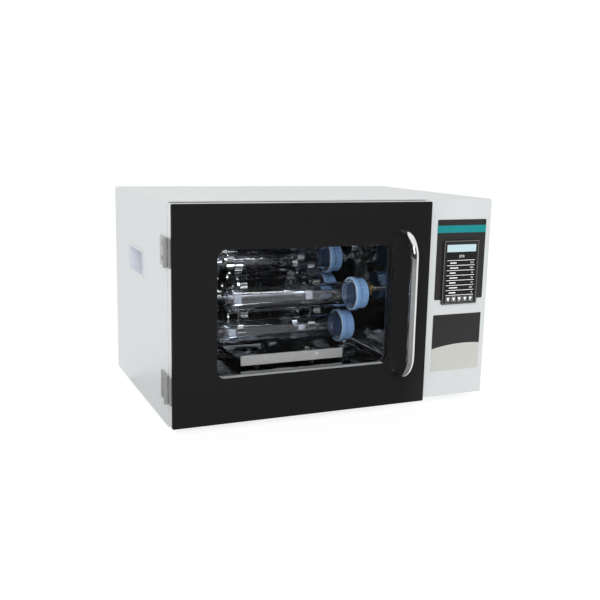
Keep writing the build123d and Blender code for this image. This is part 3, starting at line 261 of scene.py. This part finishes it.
# Which solids have which finish
finishes = {
    "enamel": ("outer_shell", "control_fascia", "rear_panel"),
    "enamel_door": ("door_frame",),
    "galvanized": ("base_pan", "bay_partition", "shaker_carriage", "power_supply"),
    "stainless": ("front_frame", "heater_ring", "temperature_probe", "fan_impeller", "door_liner"),
    "mirror": ("chamber_liner", "shaker_tray"),
    "duct_steel": ("duct_cover",),
    "clip_steel": ("rotor_wheels", "bottle_clips", "empty_clips"),
    "hinge_steel": ("hinge_cabinet_leaves", "hinge_door_leaves", "hinge_screws"),
    "bar_steel": ("tray_front_bar",),
    "bright_steel_and_seam_highlight": ("tray_bar_screws",),
    "chrome": ("door_handle",),
    "shaft": (
        "rotor_axle", "shaft_coupling", "gearmotor_standoffs", "guide_rods", "shaker_crank",
        "rear_screws", "handle_screws",
    ),
    "bronze": ("rotor_bearings",),
    "motor": ("fan_motor", "rotor_gearmotor", "shaker_motor"),
    "magnet": ("catch_magnets",),
    "black_glass": ("door_glass_border",),
    "pane": ("inner_pane", "window_pane"),
    "bottle_glass": ("bottles",),
    "cap": ("cap_1", "cap_2", "cap_3", "cap_4"),
    "overlay_dark": ("upper_overlay", "lower_overlay"),
    "overlay_grey": ("lower_panel",),
    "teal": ("accent_stripe",),
    "screen_glass": ("touch_screen",),
    "black_plastic": ("rod_blocks", "screen_bezel", "power_inlet", "switch_frame", "rocker"),
    "pocket_tone_and_painted_light": ("carry_handles",),
    "board": ("control_board",),
    "rubber": ("feet",),
    "silicone": ("door_gasket",),
    "wool": ("insulation",),
}
for look, names in finishes.items():
    for name in names:
        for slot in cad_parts[name].material_slots:
            slot.material = materials[look]


# Helpers that make pieces
CREASE = math.radians(32.0)
WELD_MM = 0.002
ON_AXIS_MM = 1e-6


def mesh_piece(name, bm, look, body):
    """A finished piece from a bmesh in metres, riding on one body."""
    bmesh.ops.remove_doubles(bm, verts=bm.verts, dist=WELD_MM * MM)
    bmesh.ops.recalc_face_normals(bm, faces=bm.faces)
    mesh = bpy.data.meshes.new(name)
    bm.to_mesh(mesh)
    bm.free()
    mesh.materials.append(materials[look])
    for polygon in mesh.polygons:
        polygon.use_smooth = True
    mesh.set_sharp_from_angle(angle=CREASE)
    piece = bpy.data.objects.new(name, mesh)
    bpy.context.scene.collection.objects.link(piece)
    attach(piece, body)
    return piece


def add_box(bm, x0, x1, y0, y1, z0, z1):
    """A closed box between two corners in millimetres."""
    corners = [bm.verts.new(at(x, y, z)) for x in (x0, x1) for y in (y0, y1) for z in (z0, z1)]
    for face in ((0, 1, 3, 2), (4, 6, 7, 5), (0, 4, 5, 1), (2, 3, 7, 6), (0, 2, 6, 4), (1, 5, 7, 3)):
        bm.faces.new([corners[i] for i in face])


def join_rings(bm, rings, closed=False):
    """Faces between neighbouring rings of vertices; a ring of one vertex is a point on the axis."""
    pairs = list(zip(rings, rings[1:] + rings[:1])) if closed else list(zip(rings, rings[1:]))
    for first, second in pairs:
        count = max(len(first), len(second))
        for i in range(count):
            j = (i + 1) % count
            if len(first) == 1 and len(second) == 1:
                continue
            if len(first) == 1:
                bm.faces.new((first[0], second[i], second[j]))
            elif len(second) == 1:
                bm.faces.new((first[i], second[0], first[j]))
            else:
                bm.faces.new((first[i], second[i], second[j], first[j]))


def arc(centre_x, centre_r, radius, start, end, steps=10):
    """Profile points on an arc; angles in degrees, 0 along the axis and 90 outwards."""
    turn_step = (end - start) / steps
    angles = [math.radians(start + turn_step * i) for i in range(steps + 1)]
    return [(centre_x + radius * math.cos(a), centre_r + radius * math.sin(a)) for a in angles]


def add_lathe(bm, profile, centre, steps=72, closed=False, grips=None):
    """A profile of (x, radius) in millimetres turned about an axis along X."""
    rings = []
    for x, radius in profile:
        if radius < ON_AXIS_MM:
            rings.append([bm.verts.new(at(x, *centre))])
            continue
        ring = []
        for i in range(steps):
            angle = 2 * math.pi * i / steps
            r = radius
            if grips and grips["x0"] <= x <= grips["x1"] and radius > grips["least"]:
                r -= grips["depth"] * (0.5 + 0.5 * math.cos(grips["count"] * angle)) ** 3
            ring.append(bm.verts.new(at(x, centre[0] + r * math.cos(angle), centre[1] + r * math.sin(angle))))
        rings.append(ring)
    join_rings(bm, rings, closed)


def mm_of(vector):
    return [(a - b) / MM for a, b in zip(vector, ORIGIN)]


def mm_box(name):
    """The low and high corners of a solid's box, in millimetres."""
    return [mm_of(corner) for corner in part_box(name)]


def end_caps(bm, rings):
    """Flat faces on both ends of a run of rings."""
    bm.faces.new(rings[0])
    bm.faces.new(rings[-1])


# Glass bottles in the rotor's clips, each slid along it to its own place
STATION_SLIDE_MM = (-4.0, -15.0, 0.0, -4.0)
BOTTLE_X0, CAP_X0 = 105.0, 326.0
BOTTLE_R, BOTTLE_WALL, BOTTOM_R = 20.5, 2.0, 15.0
NECK_R, NECK_WALL = 19.0, 2.0
SHOULDER_X = (-10.0, -6.0, -2.5)
SHOULDER_DROP = 0.4
INNER_SHOULDER_X = -9.0
COLLAR_X, COLLAR_R, COLLAR_CHAMFER = (0.8, 3.8), 22.8, 0.5
MOUTH_GAP, LIP_OUT, LIP_IN = 0.5, 0.6, 0.4

# Screw caps: a wide ring with a recess, a groove and a gripped lid
CAP_LEN, CAP_TOP, CAP_FIT, CAP_SIDES = 23.0, 3.0, 0.1, 192
RING_LEN, RING_R, RIM_W, RECESS = 8.0, 27.5, 3.4, 4.4
RIM_EDGE, RECESS_EDGE = 0.9, 0.6
RIM_HIGHLIGHT_X, RIM_HIGHLIGHT_R = 0.3, 1.15
GROOVE_W, GROOVE_DEPTH = 1.6, 1.6
LID_R, LID_CHAMFER, LID_EDGE = 24.9, 0.5, 1.6
DIMPLE_R, DIMPLE_DEPTH, DIMPLE_SLOPE = 11.0, 0.8, 1.0
GRIP_FROM, GRIP_TO, GRIP_DEPTH, GRIPS = 1.9, 1.7, 1.1, 24

# The seat at the recess's floor, the seal under the lid and the shade in the groove
TRIM_SIDES, SEAL_SIDES = 96, 72
SEAT_X, SEAT_GAP, SEAT_R = (-0.5, -0.02), 0.2, 24.0
SEAL_X, SEAL_R = (-0.4, -0.05), 18.6
SHADE_X, SHADE_DEPTH = (0.1, 1.5), (1.62, 1.2)


def cap_centre(number):
    low, high = mm_box(f"cap_{number}")
    return (low[1] + high[1]) / 2, (low[2] + high[2]) / 2


def block_profile(x0, x1, r0, r1):
    return [(x0, r0), (x0, r1), (x1, r1), (x1, r0)]


def bottle_profile(slide):
    """Down the outside from the rounded bottom, over the mouth and back inside."""
    x0 = BOTTLE_X0 + slide
    x1 = CAP_X0 + slide
    inner_r = BOTTLE_R - BOTTLE_WALL
    bore_r = NECK_R - NECK_WALL
    outer = [(x0, 0.0)] + arc(x0 + BOTTOM_R, BOTTLE_R - BOTTOM_R, BOTTOM_R, 180, 90)
    shoulder_r = (BOTTLE_R, BOTTLE_R - SHOULDER_DROP, NECK_R)
    shoulder = [(x1 + x, r) for x, r in zip(SHOULDER_X, shoulder_r)]
    c0, c1 = x1 + COLLAR_X[0], x1 + COLLAR_X[1]
    collar = [
        (c0, NECK_R), (c0, COLLAR_R - COLLAR_CHAMFER), (c0 + COLLAR_CHAMFER, COLLAR_R),
        (c1 - COLLAR_CHAMFER, COLLAR_R), (c1, COLLAR_R - COLLAR_CHAMFER), (c1, NECK_R),
    ]
    end = x1 + CAP_LEN - CAP_TOP - MOUTH_GAP
    mouth = [
        (end - LIP_OUT, NECK_R), (end, NECK_R - LIP_OUT), (end, bore_r + LIP_IN), (end - LIP_IN, bore_r),
    ]
    inner = [(x1 + SHOULDER_X[2], bore_r), (x1 + INNER_SHOULDER_X, inner_r)]
    bottom = arc(x0 + BOTTOM_R, BOTTLE_R - BOTTOM_R, BOTTOM_R - BOTTLE_WALL, 90, 180)
    return outer + shoulder + collar + mouth + inner + bottom + [(x0 + BOTTLE_WALL, 0.0)]


def cap_profile(slide):
    """From the inside of the lid out through the recess, over the rim and back across the top."""
    x = CAP_X0 + slide
    end = x + CAP_LEN
    lid_x = x + RING_LEN + GROOVE_W
    bore_r = NECK_R + CAP_FIT
    lip_r = RING_R - RIM_W
    waist_r = LID_R - GROOVE_DEPTH
    inside = [(end - CAP_TOP, 0.0), (end - CAP_TOP, bore_r), (x + RECESS, bore_r)]
    recess = [(x + RECESS, lip_r), (x + RECESS_EDGE, lip_r)]
    recess += arc(x + RECESS_EDGE, lip_r + RECESS_EDGE, RECESS_EDGE, 270, 180, 4)
    rim = arc(x + RIM_EDGE, RING_R - RIM_EDGE, RIM_EDGE, 180, 90, 5)
    rim += arc(x + RING_LEN - RIM_EDGE, RING_R - RIM_EDGE, RIM_EDGE, 90, 0, 5)
    waist = [
        (x + RING_LEN, waist_r), (lid_x, waist_r), (lid_x, LID_R - LID_CHAMFER), (lid_x + LID_CHAMFER, LID_R),
    ]
    sides = [(lid_x + 2.0, LID_R), (lid_x + 3.0, LID_R), (end - 3.0, LID_R)]
    top = arc(end - LID_EDGE, LID_R - LID_EDGE, LID_EDGE, 90, 0, 6)
    top += [(end, DIMPLE_R + DIMPLE_SLOPE), (end - DIMPLE_DEPTH, DIMPLE_R), (end - DIMPLE_DEPTH, 0.0)]
    return inside + recess + rim + waist + sides + top


def add_cap(number, slide, centre):
    """One screw cap with a paler ring on its rim that is a painted highlight, its seat and seal, and the
    painted shade in its groove.
    """
    body = "cap_" + "abcd"[number - 1]
    x = CAP_X0 + slide
    grips = {
        "x0": x + RING_LEN + GROOVE_W + GRIP_FROM, "x1": x + CAP_LEN - GRIP_TO,
        "least": LID_R - 1.0, "count": GRIPS, "depth": GRIP_DEPTH,
    }
    bm = bmesh.new()
    add_lathe(bm, cap_profile(slide), centre, CAP_SIDES, grips=grips)
    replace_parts(mesh_piece(f"screw_cap_{number}", bm, "cap", body), f"cap_{number}")

    # A paler ring on the rim: painted highlight
    bm = bmesh.new()
    rim_highlight = arc(x + RIM_HIGHLIGHT_X, RING_R - RIM_W / 2, RIM_HIGHLIGHT_R, 180, 540, 12)[:-1]
    add_lathe(bm, rim_highlight, centre, TRIM_SIDES, closed=True)
    mesh_piece(f"cap_rim_highlight_{number}", bm, "cap_rim_highlight", body)

    bm = bmesh.new()
    floor_x = x + RECESS
    seat = block_profile(floor_x + SEAT_X[0], floor_x + SEAT_X[1], NECK_R + SEAT_GAP, SEAT_R)
    add_lathe(bm, seat, centre, TRIM_SIDES, closed=True)
    lid_x = x + CAP_LEN - CAP_TOP
    add_lathe(bm, block_profile(lid_x + SEAL_X[0], lid_x + SEAL_X[1], 0.0, SEAL_R), centre, SEAL_SIDES)
    mesh_piece(f"cap_seal_{number}", bm, "cap_seal", body)

    # A dark band in the groove: painted shade
    bm = bmesh.new()
    groove_x = x + RING_LEN
    shade_r = [LID_R - depth for depth in SHADE_DEPTH]
    shade = block_profile(groove_x + SHADE_X[0], groove_x + SHADE_X[1], *shade_r)
    add_lathe(bm, shade, centre, TRIM_SIDES, closed=True)
    mesh_piece(f"cap_groove_shade_{number}", bm, "cap_groove_shade", body)


all_bottles = bmesh.new()
for number, slide in enumerate(STATION_SLIDE_MM, 1):
    centre = cap_centre(number)
    add_lathe(all_bottles, bottle_profile(slide), centre)
    add_cap(number, slide, centre)
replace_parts(mesh_piece("glass_bottles", all_bottles, "bottle_glass", "rotor"), "bottles")


# Bow handle: a round bar along the solid's path, bent into the glass at both feet
BAR_R, BAR_SIDES = 6.3, 40
BEND_STEPS, GRIP_STEPS = 12, 12
HANDLE_FEET = (53.0, 281.0)
handle_low, handle_high = mm_box("door_handle")
HANDLE_X = (handle_low[0] + handle_high[0]) / 2
glass_y = mm_box("door_glass_border")[0][1]
grip_y = handle_low[1] + BAR_R
bend_r = glass_y - grip_y


def handle_path():
    """Points and directions along the bar, from the upper foot to the lower one."""
    low, top = HANDLE_FEET
    bend = [math.radians(90.0 * i / BEND_STEPS) for i in range(BEND_STEPS + 1)]
    path = [(glass_y, top, -1.0, 0.0)]
    for a in bend:
        y, z = glass_y - bend_r * math.sin(a), top - bend_r * (1 - math.cos(a))
        path.append((y, z, -math.cos(a), -math.sin(a)))
    for i in range(1, GRIP_STEPS):
        path.append((grip_y, top - bend_r - (top - low - 2 * bend_r) * i / GRIP_STEPS, 0.0, -1.0))
    for a in bend:
        y, z = glass_y - bend_r * math.cos(a), low + bend_r * (1 - math.sin(a))
        path.append((y, z, math.sin(a), -math.cos(a)))
    path.append((glass_y, low, 1.0, 0.0))
    return path


bm = bmesh.new()
bar_rings = []
for y, z, dy, dz in handle_path():
    ring = []
    for i in range(BAR_SIDES):
        a = 2 * math.pi * i / BAR_SIDES
        out = BAR_R * math.sin(a)
        ring.append(bm.verts.new(at(HANDLE_X + BAR_R * math.cos(a), y - out * dz, z + out * dy)))
    bar_rings.append(ring)
join_rings(bm, bar_rings)
end_caps(bm, bar_rings)
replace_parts(mesh_piece("bow_handle", bm, "chrome", "door"), "door_handle")


# Window reveal: a thin black sheet on all sides but the sill, painted shade where the reveal falls dark
WINDOW = {"x0": 67.0, "x1": 354.0, "z0": 71.0, "z1": 261.5, "r": 14.0}
CORNER_STEPS = 8
SHADE_SHEET_T, SHADE_SHEET_GAP = 0.35, 0.02
SHADE_SHEET_Y = (-17.9, -7.1)


def reveal_outline(inset):
    """The window's outline from the lower left corner, over the top, to the lower right corner."""
    x0, x1, z0, z1, r = (WINDOW[k] for k in ("x0", "x1", "z0", "z1", "r"))
    corners = (
        (x0 + r, z0 + r, 215, 180),
        (x0 + r, z1 - r, 180, 90),
        (x1 - r, z1 - r, 90, 0),
        (x1 - r, z0 + r, 0, -70),
    )
    points = []
    for cx, cz, start, end in corners:
        for i in range(CORNER_STEPS + 1):
            a = math.radians(start + (end - start) * i / CORNER_STEPS)
            points.append((cx + (r - inset) * math.cos(a), cz + (r - inset) * math.sin(a)))
    return points


bm = bmesh.new()
front_y, back_y = SHADE_SHEET_Y
strips = []
for inset, y in ((SHADE_SHEET_GAP, front_y), (SHADE_SHEET_GAP, back_y), (SHADE_SHEET_T, back_y), (SHADE_SHEET_T, front_y)):
    strips.append([bm.verts.new(at(px, y, pz)) for px, pz in reveal_outline(inset)])
for first, second in zip(strips, strips[1:] + strips[:1]):
    for i in range(len(first) - 1):
        bm.faces.new((first[i], first[i + 1], second[i + 1], second[i]))
bm.faces.new([strip[0] for strip in strips])
bm.faces.new([strip[-1] for strip in reversed(strips)])
mesh_piece("reveal_shade_sheet", bm, "reveal_painted_shade", "door")


# Chamber floor seam, where the liner's side wall is folded up: a pale bead there, its brightness a painted
# highlight along the corner
SEAM_X, SEAM_Z, SEAM_R, SEAM_SIDES = 390.2, 61.8, 1.7, 12
SEAM_YS = (3.0, 75.0, 150.0, 225.0, 296.0)
bm = bmesh.new()
seam_rings = []
for y in SEAM_YS:
    ring = []
    for i in range(SEAM_SIDES):
        a = 2 * math.pi * i / SEAM_SIDES
        ring.append(bm.verts.new(at(SEAM_X + SEAM_R * math.cos(a), y, SEAM_Z + SEAM_R * math.sin(a))))
    seam_rings.append(ring)
join_rings(bm, seam_rings)
end_caps(bm, seam_rings)
mesh_piece("liner_seam_highlight", bm, "bright_steel_and_seam_highlight", "cabinet")


# Touch screen: plain bars, lines and numbers, with a thin grey line round the bezel's edge that is a painted
# highlight
SCREEN_Y = mm_box("touch_screen")[0][1]
BEZEL_Y = mm_box("screen_bezel")[0][1]
SCREEN_X = (466.0, 520.0)
HEADER_OVER, HEADER_Z = 1.0, (243.5, 255.5)
MARK_T, MARK_GAP = 0.06, 0.01
ROW_TOP, ROW_PITCH, ROWS = 229.5, 8.28, 7
LINE_HALF = 0.35
LABEL_X, LABEL_FOOT, LABEL_TOP = 472.0, 4.9, 3.4
LABEL_WIDTHS = (12.0, 16.0, 11.0, 15.0, 12.0, 16.0, 13.0)
READINGS = ("37.0", "42.0", "12", "60", "30", "25.0", "8")
READING_X, READING_FOOT, READING_H = 517.5, 5.5, 2.6
MAIN_READING = ("37.0", 498.5, 234.2, 4.2)
TEXT_SCALE = 1.4
ICON_X0, ICON_PITCH, ICONS = 467.0, 11.0, 5
ICON_W, ICON_LINE, ICON_Z = 8.6, 0.8, (160.6, 161.4, 168.4, 169.2)
ICON_BODY = (2.2, 6.4, 164.2, 167.4)
ICON_FOOT = (3.0, 5.6, 162.2, 163.4)
BEZEL_FACE = (458.5, 527.0, 156.5, 263.0)
HIGHLIGHT_INSET = (1.2, 2.0)
HIGHLIGHT_Y = (-0.05, 0.02)


def marks(name, boxes, look):
    """Thin printed boxes of (x0, x1, z0, z1) on the screen's face."""
    bm = bmesh.new()
    for x0, x1, z0, z1 in boxes:
        add_box(bm, x0, x1, SCREEN_Y - MARK_T, SCREEN_Y - MARK_GAP, z0, z1)
    return mesh_piece(name, bm, look, "cabinet")


def add_number(bm, text, x, z, height):
    """Digits set from a plain font, x at their right end and z at their foot."""
    curve = bpy.data.curves.new("digits", "FONT")
    curve.body = text
    curve.size = height * TEXT_SCALE * MM
    curve.extrude = MARK_T / 2 * MM
    curve.align_x = "RIGHT"
    curve.resolution_u = 3
    holder = bpy.data.objects.new("digits", curve)
    bpy.context.scene.collection.objects.link(holder)
    place = Matrix.Translation(at(x, SCREEN_Y - MARK_T / 2 - MARK_GAP, z))
    holder.matrix_world = place @ Matrix.Rotation(math.pi / 2, 4, "X")
    bpy.context.view_layer.update()
    mesh = bpy.data.meshes.new_from_object(holder.evaluated_get(bpy.context.evaluated_depsgraph_get()))
    mesh.transform(holder.matrix_world)
    bm.from_mesh(mesh)
    bpy.data.meshes.remove(mesh)
    bpy.data.objects.remove(holder)
    bpy.data.curves.remove(curve)


marks("screen_header", [(SCREEN_X[0] - HEADER_OVER, SCREEN_X[1] + HEADER_OVER, *HEADER_Z)], "screen_blue")
line_zs = [ROW_TOP - ROW_PITCH * i for i in range(ROWS + 1)]
marks("screen_lines", [(*SCREEN_X, z - LINE_HALF, z + LINE_HALF) for z in line_zs], "screen_white")
labels = []
for width, z in zip(LABEL_WIDTHS, line_zs):
    labels.append((LABEL_X, LABEL_X + width, z - LABEL_FOOT, z - LABEL_TOP))
marks("screen_labels", labels, "screen_white")
readings = bmesh.new()
for value, z in zip(READINGS, line_zs):
    add_number(readings, value, READING_X, z - READING_FOOT, READING_H)
add_number(readings, *MAIN_READING)
mesh_piece("screen_numbers", readings, "screen_white", "cabinet")

icon_x = [ICON_X0 + ICON_PITCH * i for i in range(ICONS)]
foot_low, foot_high, head_low, head_high = ICON_Z
frames = []
for x in icon_x:
    frames.append((x, x + ICON_W, foot_low, foot_high))
    frames.append((x, x + ICON_W, head_low, head_high))
    frames.append((x, x + ICON_LINE, foot_high, head_low))
    frames.append((x + ICON_W - ICON_LINE, x + ICON_W, foot_high, head_low))
marks("screen_icon_frames", frames, "screen_grey")
for name, (x0, x1, z0, z1) in (("screen_icon_bodies", ICON_BODY), ("screen_icon_feet", ICON_FOOT)):
    marks(name, [(x + x0, x + x1, z0, z1) for x in icon_x], "screen_white")

# A thin grey frame on the bezel's front edge: painted highlight of its raised edge
bm = bmesh.new()
x0, x1, z0, z1 = BEZEL_FACE
y0, y1 = [BEZEL_Y + y for y in HIGHLIGHT_Y]
outer, inner = HIGHLIGHT_INSET
add_box(bm, x0 + outer, x0 + inner, y0, y1, z0 + outer, z1 - outer)
add_box(bm, x1 - inner, x1 - outer, y0, y1, z0 + outer, z1 - outer)
add_box(bm, x0 + inner, x1 - inner, y0, y1, z0 + outer, z0 + inner)
add_box(bm, x0 + inner, x1 - inner, y0, y1, z1 - inner, z1 - outer)
mesh_piece("bezel_edge_highlight", bm, "bezel_painted_highlight", "cabinet")


# Camera: the photograph's place, direction and focal length
CAMERA_MM = (-297.3, -1148.2, 415.0)
YAW = math.radians(23.667)
PITCH = math.radians(10.695)
ROLL = math.radians(1.2606)
FOCAL_PX = 836.60
PICTURE_PX = 600.0
SENSOR_MM = 36.0

forward = Vector((math.sin(YAW) * math.cos(PITCH), math.cos(YAW) * math.cos(PITCH), -math.sin(PITCH)))
level_right = Vector((math.cos(YAW), -math.sin(YAW), 0.0))
level_up = level_right.cross(forward)
cam_right = level_right * math.cos(ROLL) + level_up * math.sin(ROLL)
cam_up = level_up * math.cos(ROLL) - level_right * math.sin(ROLL)
camera_data = bpy.data.cameras.new("camera")
camera_data.sensor_width = SENSOR_MM
camera_data.lens = FOCAL_PX / PICTURE_PX * SENSOR_MM
camera = bpy.data.objects.new("camera", camera_data)
bpy.context.scene.collection.objects.link(camera)
turn = Matrix((cam_right, cam_up, -forward)).transposed()
camera.matrix_world = Matrix.Translation(at(*CAMERA_MM)) @ turn.to_4x4()
bpy.context.scene.camera = camera


# The studio that shiny surfaces reflect: dark from the left round to the camera, bright elsewhere
DARK_MIDDLE = math.radians(-42.5)
DARK_TOWARDS = Vector((math.sin(DARK_MIDDLE), -math.cos(DARK_MIDDLE), 0.0))
DARK_EDGE = (0.18, 0.26)
DARK_LEVEL = 0.04
OVERHEAD_EDGE = (0.55, 0.70)

# Light shed on the object, and the level that the camera sees
WORLD_SHED, WORLD_SHOWN = 0.76, 1.0
FLOOR_SHED, FLOOR_SHOWN = 0.66, 0.80
FLOOR_GREY = 0.30
FLOOR_HALF_M = 6.0


def feed(links, socket, value):
    """A number set on a socket, or another node's output linked to it."""
    if isinstance(value, (int, float)):
        socket.default_value = value
    else:
        links.new(value, socket)


def math_node(nodes, links, kind, a, b):
    node = nodes.new("ShaderNodeMath")
    node.operation = kind
    for socket, value in zip(node.inputs, (a, b)):
        feed(links, socket, value)
    return node.outputs[0]


def blend(nodes, links, factor, first, second):
    """The first value where the factor is 0, the second where it is 1."""
    node = nodes.new("ShaderNodeMix")
    for index, value in ((0, factor), (2, first), (3, second)):
        feed(links, node.inputs[index], value)
    return node.outputs[0]


def studio_level(nodes, links, direction):
    """How bright the studio is that way, for a mirror ray."""
    unit = nodes.new("ShaderNodeVectorMath")
    unit.operation = "NORMALIZE"
    links.new(direction, unit.inputs[0])
    towards = nodes.new("ShaderNodeVectorMath")
    towards.operation = "DOT_PRODUCT"
    links.new(unit.outputs["Vector"], towards.inputs[0])
    towards.inputs[1].default_value = DARK_TOWARDS
    around = spread(nodes, links, towards.outputs["Value"], 1.0, DARK_LEVEL, *DARK_EDGE)
    parts = nodes.new("ShaderNodeSeparateXYZ")
    links.new(unit.outputs["Vector"], parts.inputs[0])
    overhead = spread(nodes, links, parts.outputs["Z"], 0.0, 1.0, *OVERHEAD_EDGE)
    return math_node(nodes, links, "MAXIMUM", around, overhead)


def seen_level(nodes, links, direction, shed, shown):
    """One level for camera and glass rays, one for mirror rays, and one for the light that is shed."""
    path = nodes.new("ShaderNodeLightPath")
    mirrored = math_node(nodes, links, "MULTIPLY", studio_level(nodes, links, direction), shown)
    camera_ray, glass_ray = path.outputs["Is Camera Ray"], path.outputs["Is Transmission Ray"]
    direct = math_node(nodes, links, "MAXIMUM", camera_ray, glass_ray)
    shed_or_mirrored = blend(nodes, links, path.outputs["Is Glossy Ray"], shed, mirrored)
    return blend(nodes, links, direct, shed_or_mirrored, shown)


world = bpy.data.worlds.new("studio")
bpy.context.scene.world = world
world.use_nodes = True
world_nodes = world.node_tree.nodes
world_links = world.node_tree.links
background = world_nodes["Background"]
background.inputs["Color"].default_value = (1.0, 1.0, 1.0, 1.0)
world_coords = world_nodes.new("ShaderNodeTexCoord")
world_way = world_coords.outputs["Generated"]
world_level = seen_level(world_nodes, world_links, world_way, WORLD_SHED, WORLD_SHOWN)
world_links.new(world_level, background.inputs["Strength"])

# Floor: a grey sheet that keeps the object's shadow, with a glow that brings it to the world's level
floor_corners = [(FLOOR_HALF_M * x, FLOOR_HALF_M * y, 0) for x, y in ((-1, -1), (1, -1), (1, 1), (-1, 1))]
floor_mesh = bpy.data.meshes.new("floor")
floor_mesh.from_pydata(floor_corners, [], [(0, 1, 2, 3)])
floor = bpy.data.objects.new("floor", floor_mesh)
bpy.context.scene.collection.objects.link(floor)
floor_material = bpy.data.materials.new("floor_white")
floor_material.use_nodes = True
floor_nodes = floor_material.node_tree.nodes
floor_links = floor_material.node_tree.links
floor_nodes.clear()
floor_out = floor_nodes.new("ShaderNodeOutputMaterial")
diffuse = floor_nodes.new("ShaderNodeBsdfDiffuse")
diffuse.inputs["Color"].default_value = (FLOOR_GREY, FLOOR_GREY, FLOOR_GREY, 1)
glow = floor_nodes.new("ShaderNodeEmission")
total = floor_nodes.new("ShaderNodeAddShader")
floor_coords = floor_nodes.new("ShaderNodeTexCoord")
floor_way = floor_coords.outputs["Object"]
floor_level = seen_level(floor_nodes, floor_links, floor_way, FLOOR_SHED, FLOOR_SHOWN)
floor_links.new(floor_level, glow.inputs["Strength"])
floor_links.new(diffuse.outputs[0], total.inputs[0])
floor_links.new(glow.outputs[0], total.inputs[1])
floor_links.new(total.outputs[0], floor_out.inputs[0])
floor_mesh.materials.append(floor_material)


# Lights: each one's name, place, aim, size in millimetres and power in watts
LIGHTS = (
    ("chamber_lamp", (200, 8, 272), (240, 190, 100), (170, 14), 0.15),
    ("front_softbox", (-500, -1500, 1100), (210, 100, 160), (900, 900), 9.5),
)
for name, place_mm, target_mm, size_mm, watts in LIGHTS:
    data = bpy.data.lights.new(name, "AREA")
    data.shape = "RECTANGLE"
    data.size = size_mm[0] * MM
    data.size_y = size_mm[1] * MM
    data.energy = watts
    light = bpy.data.objects.new(name, data)
    light.location = at(*place_mm)
    direction = at(*target_mm) - light.location
    light.rotation_euler = direction.to_track_quat("-Z", "Y").to_euler()
    bpy.context.scene.collection.objects.link(light)

scene = bpy.context.scene
scene.view_settings.view_transform = "Standard"
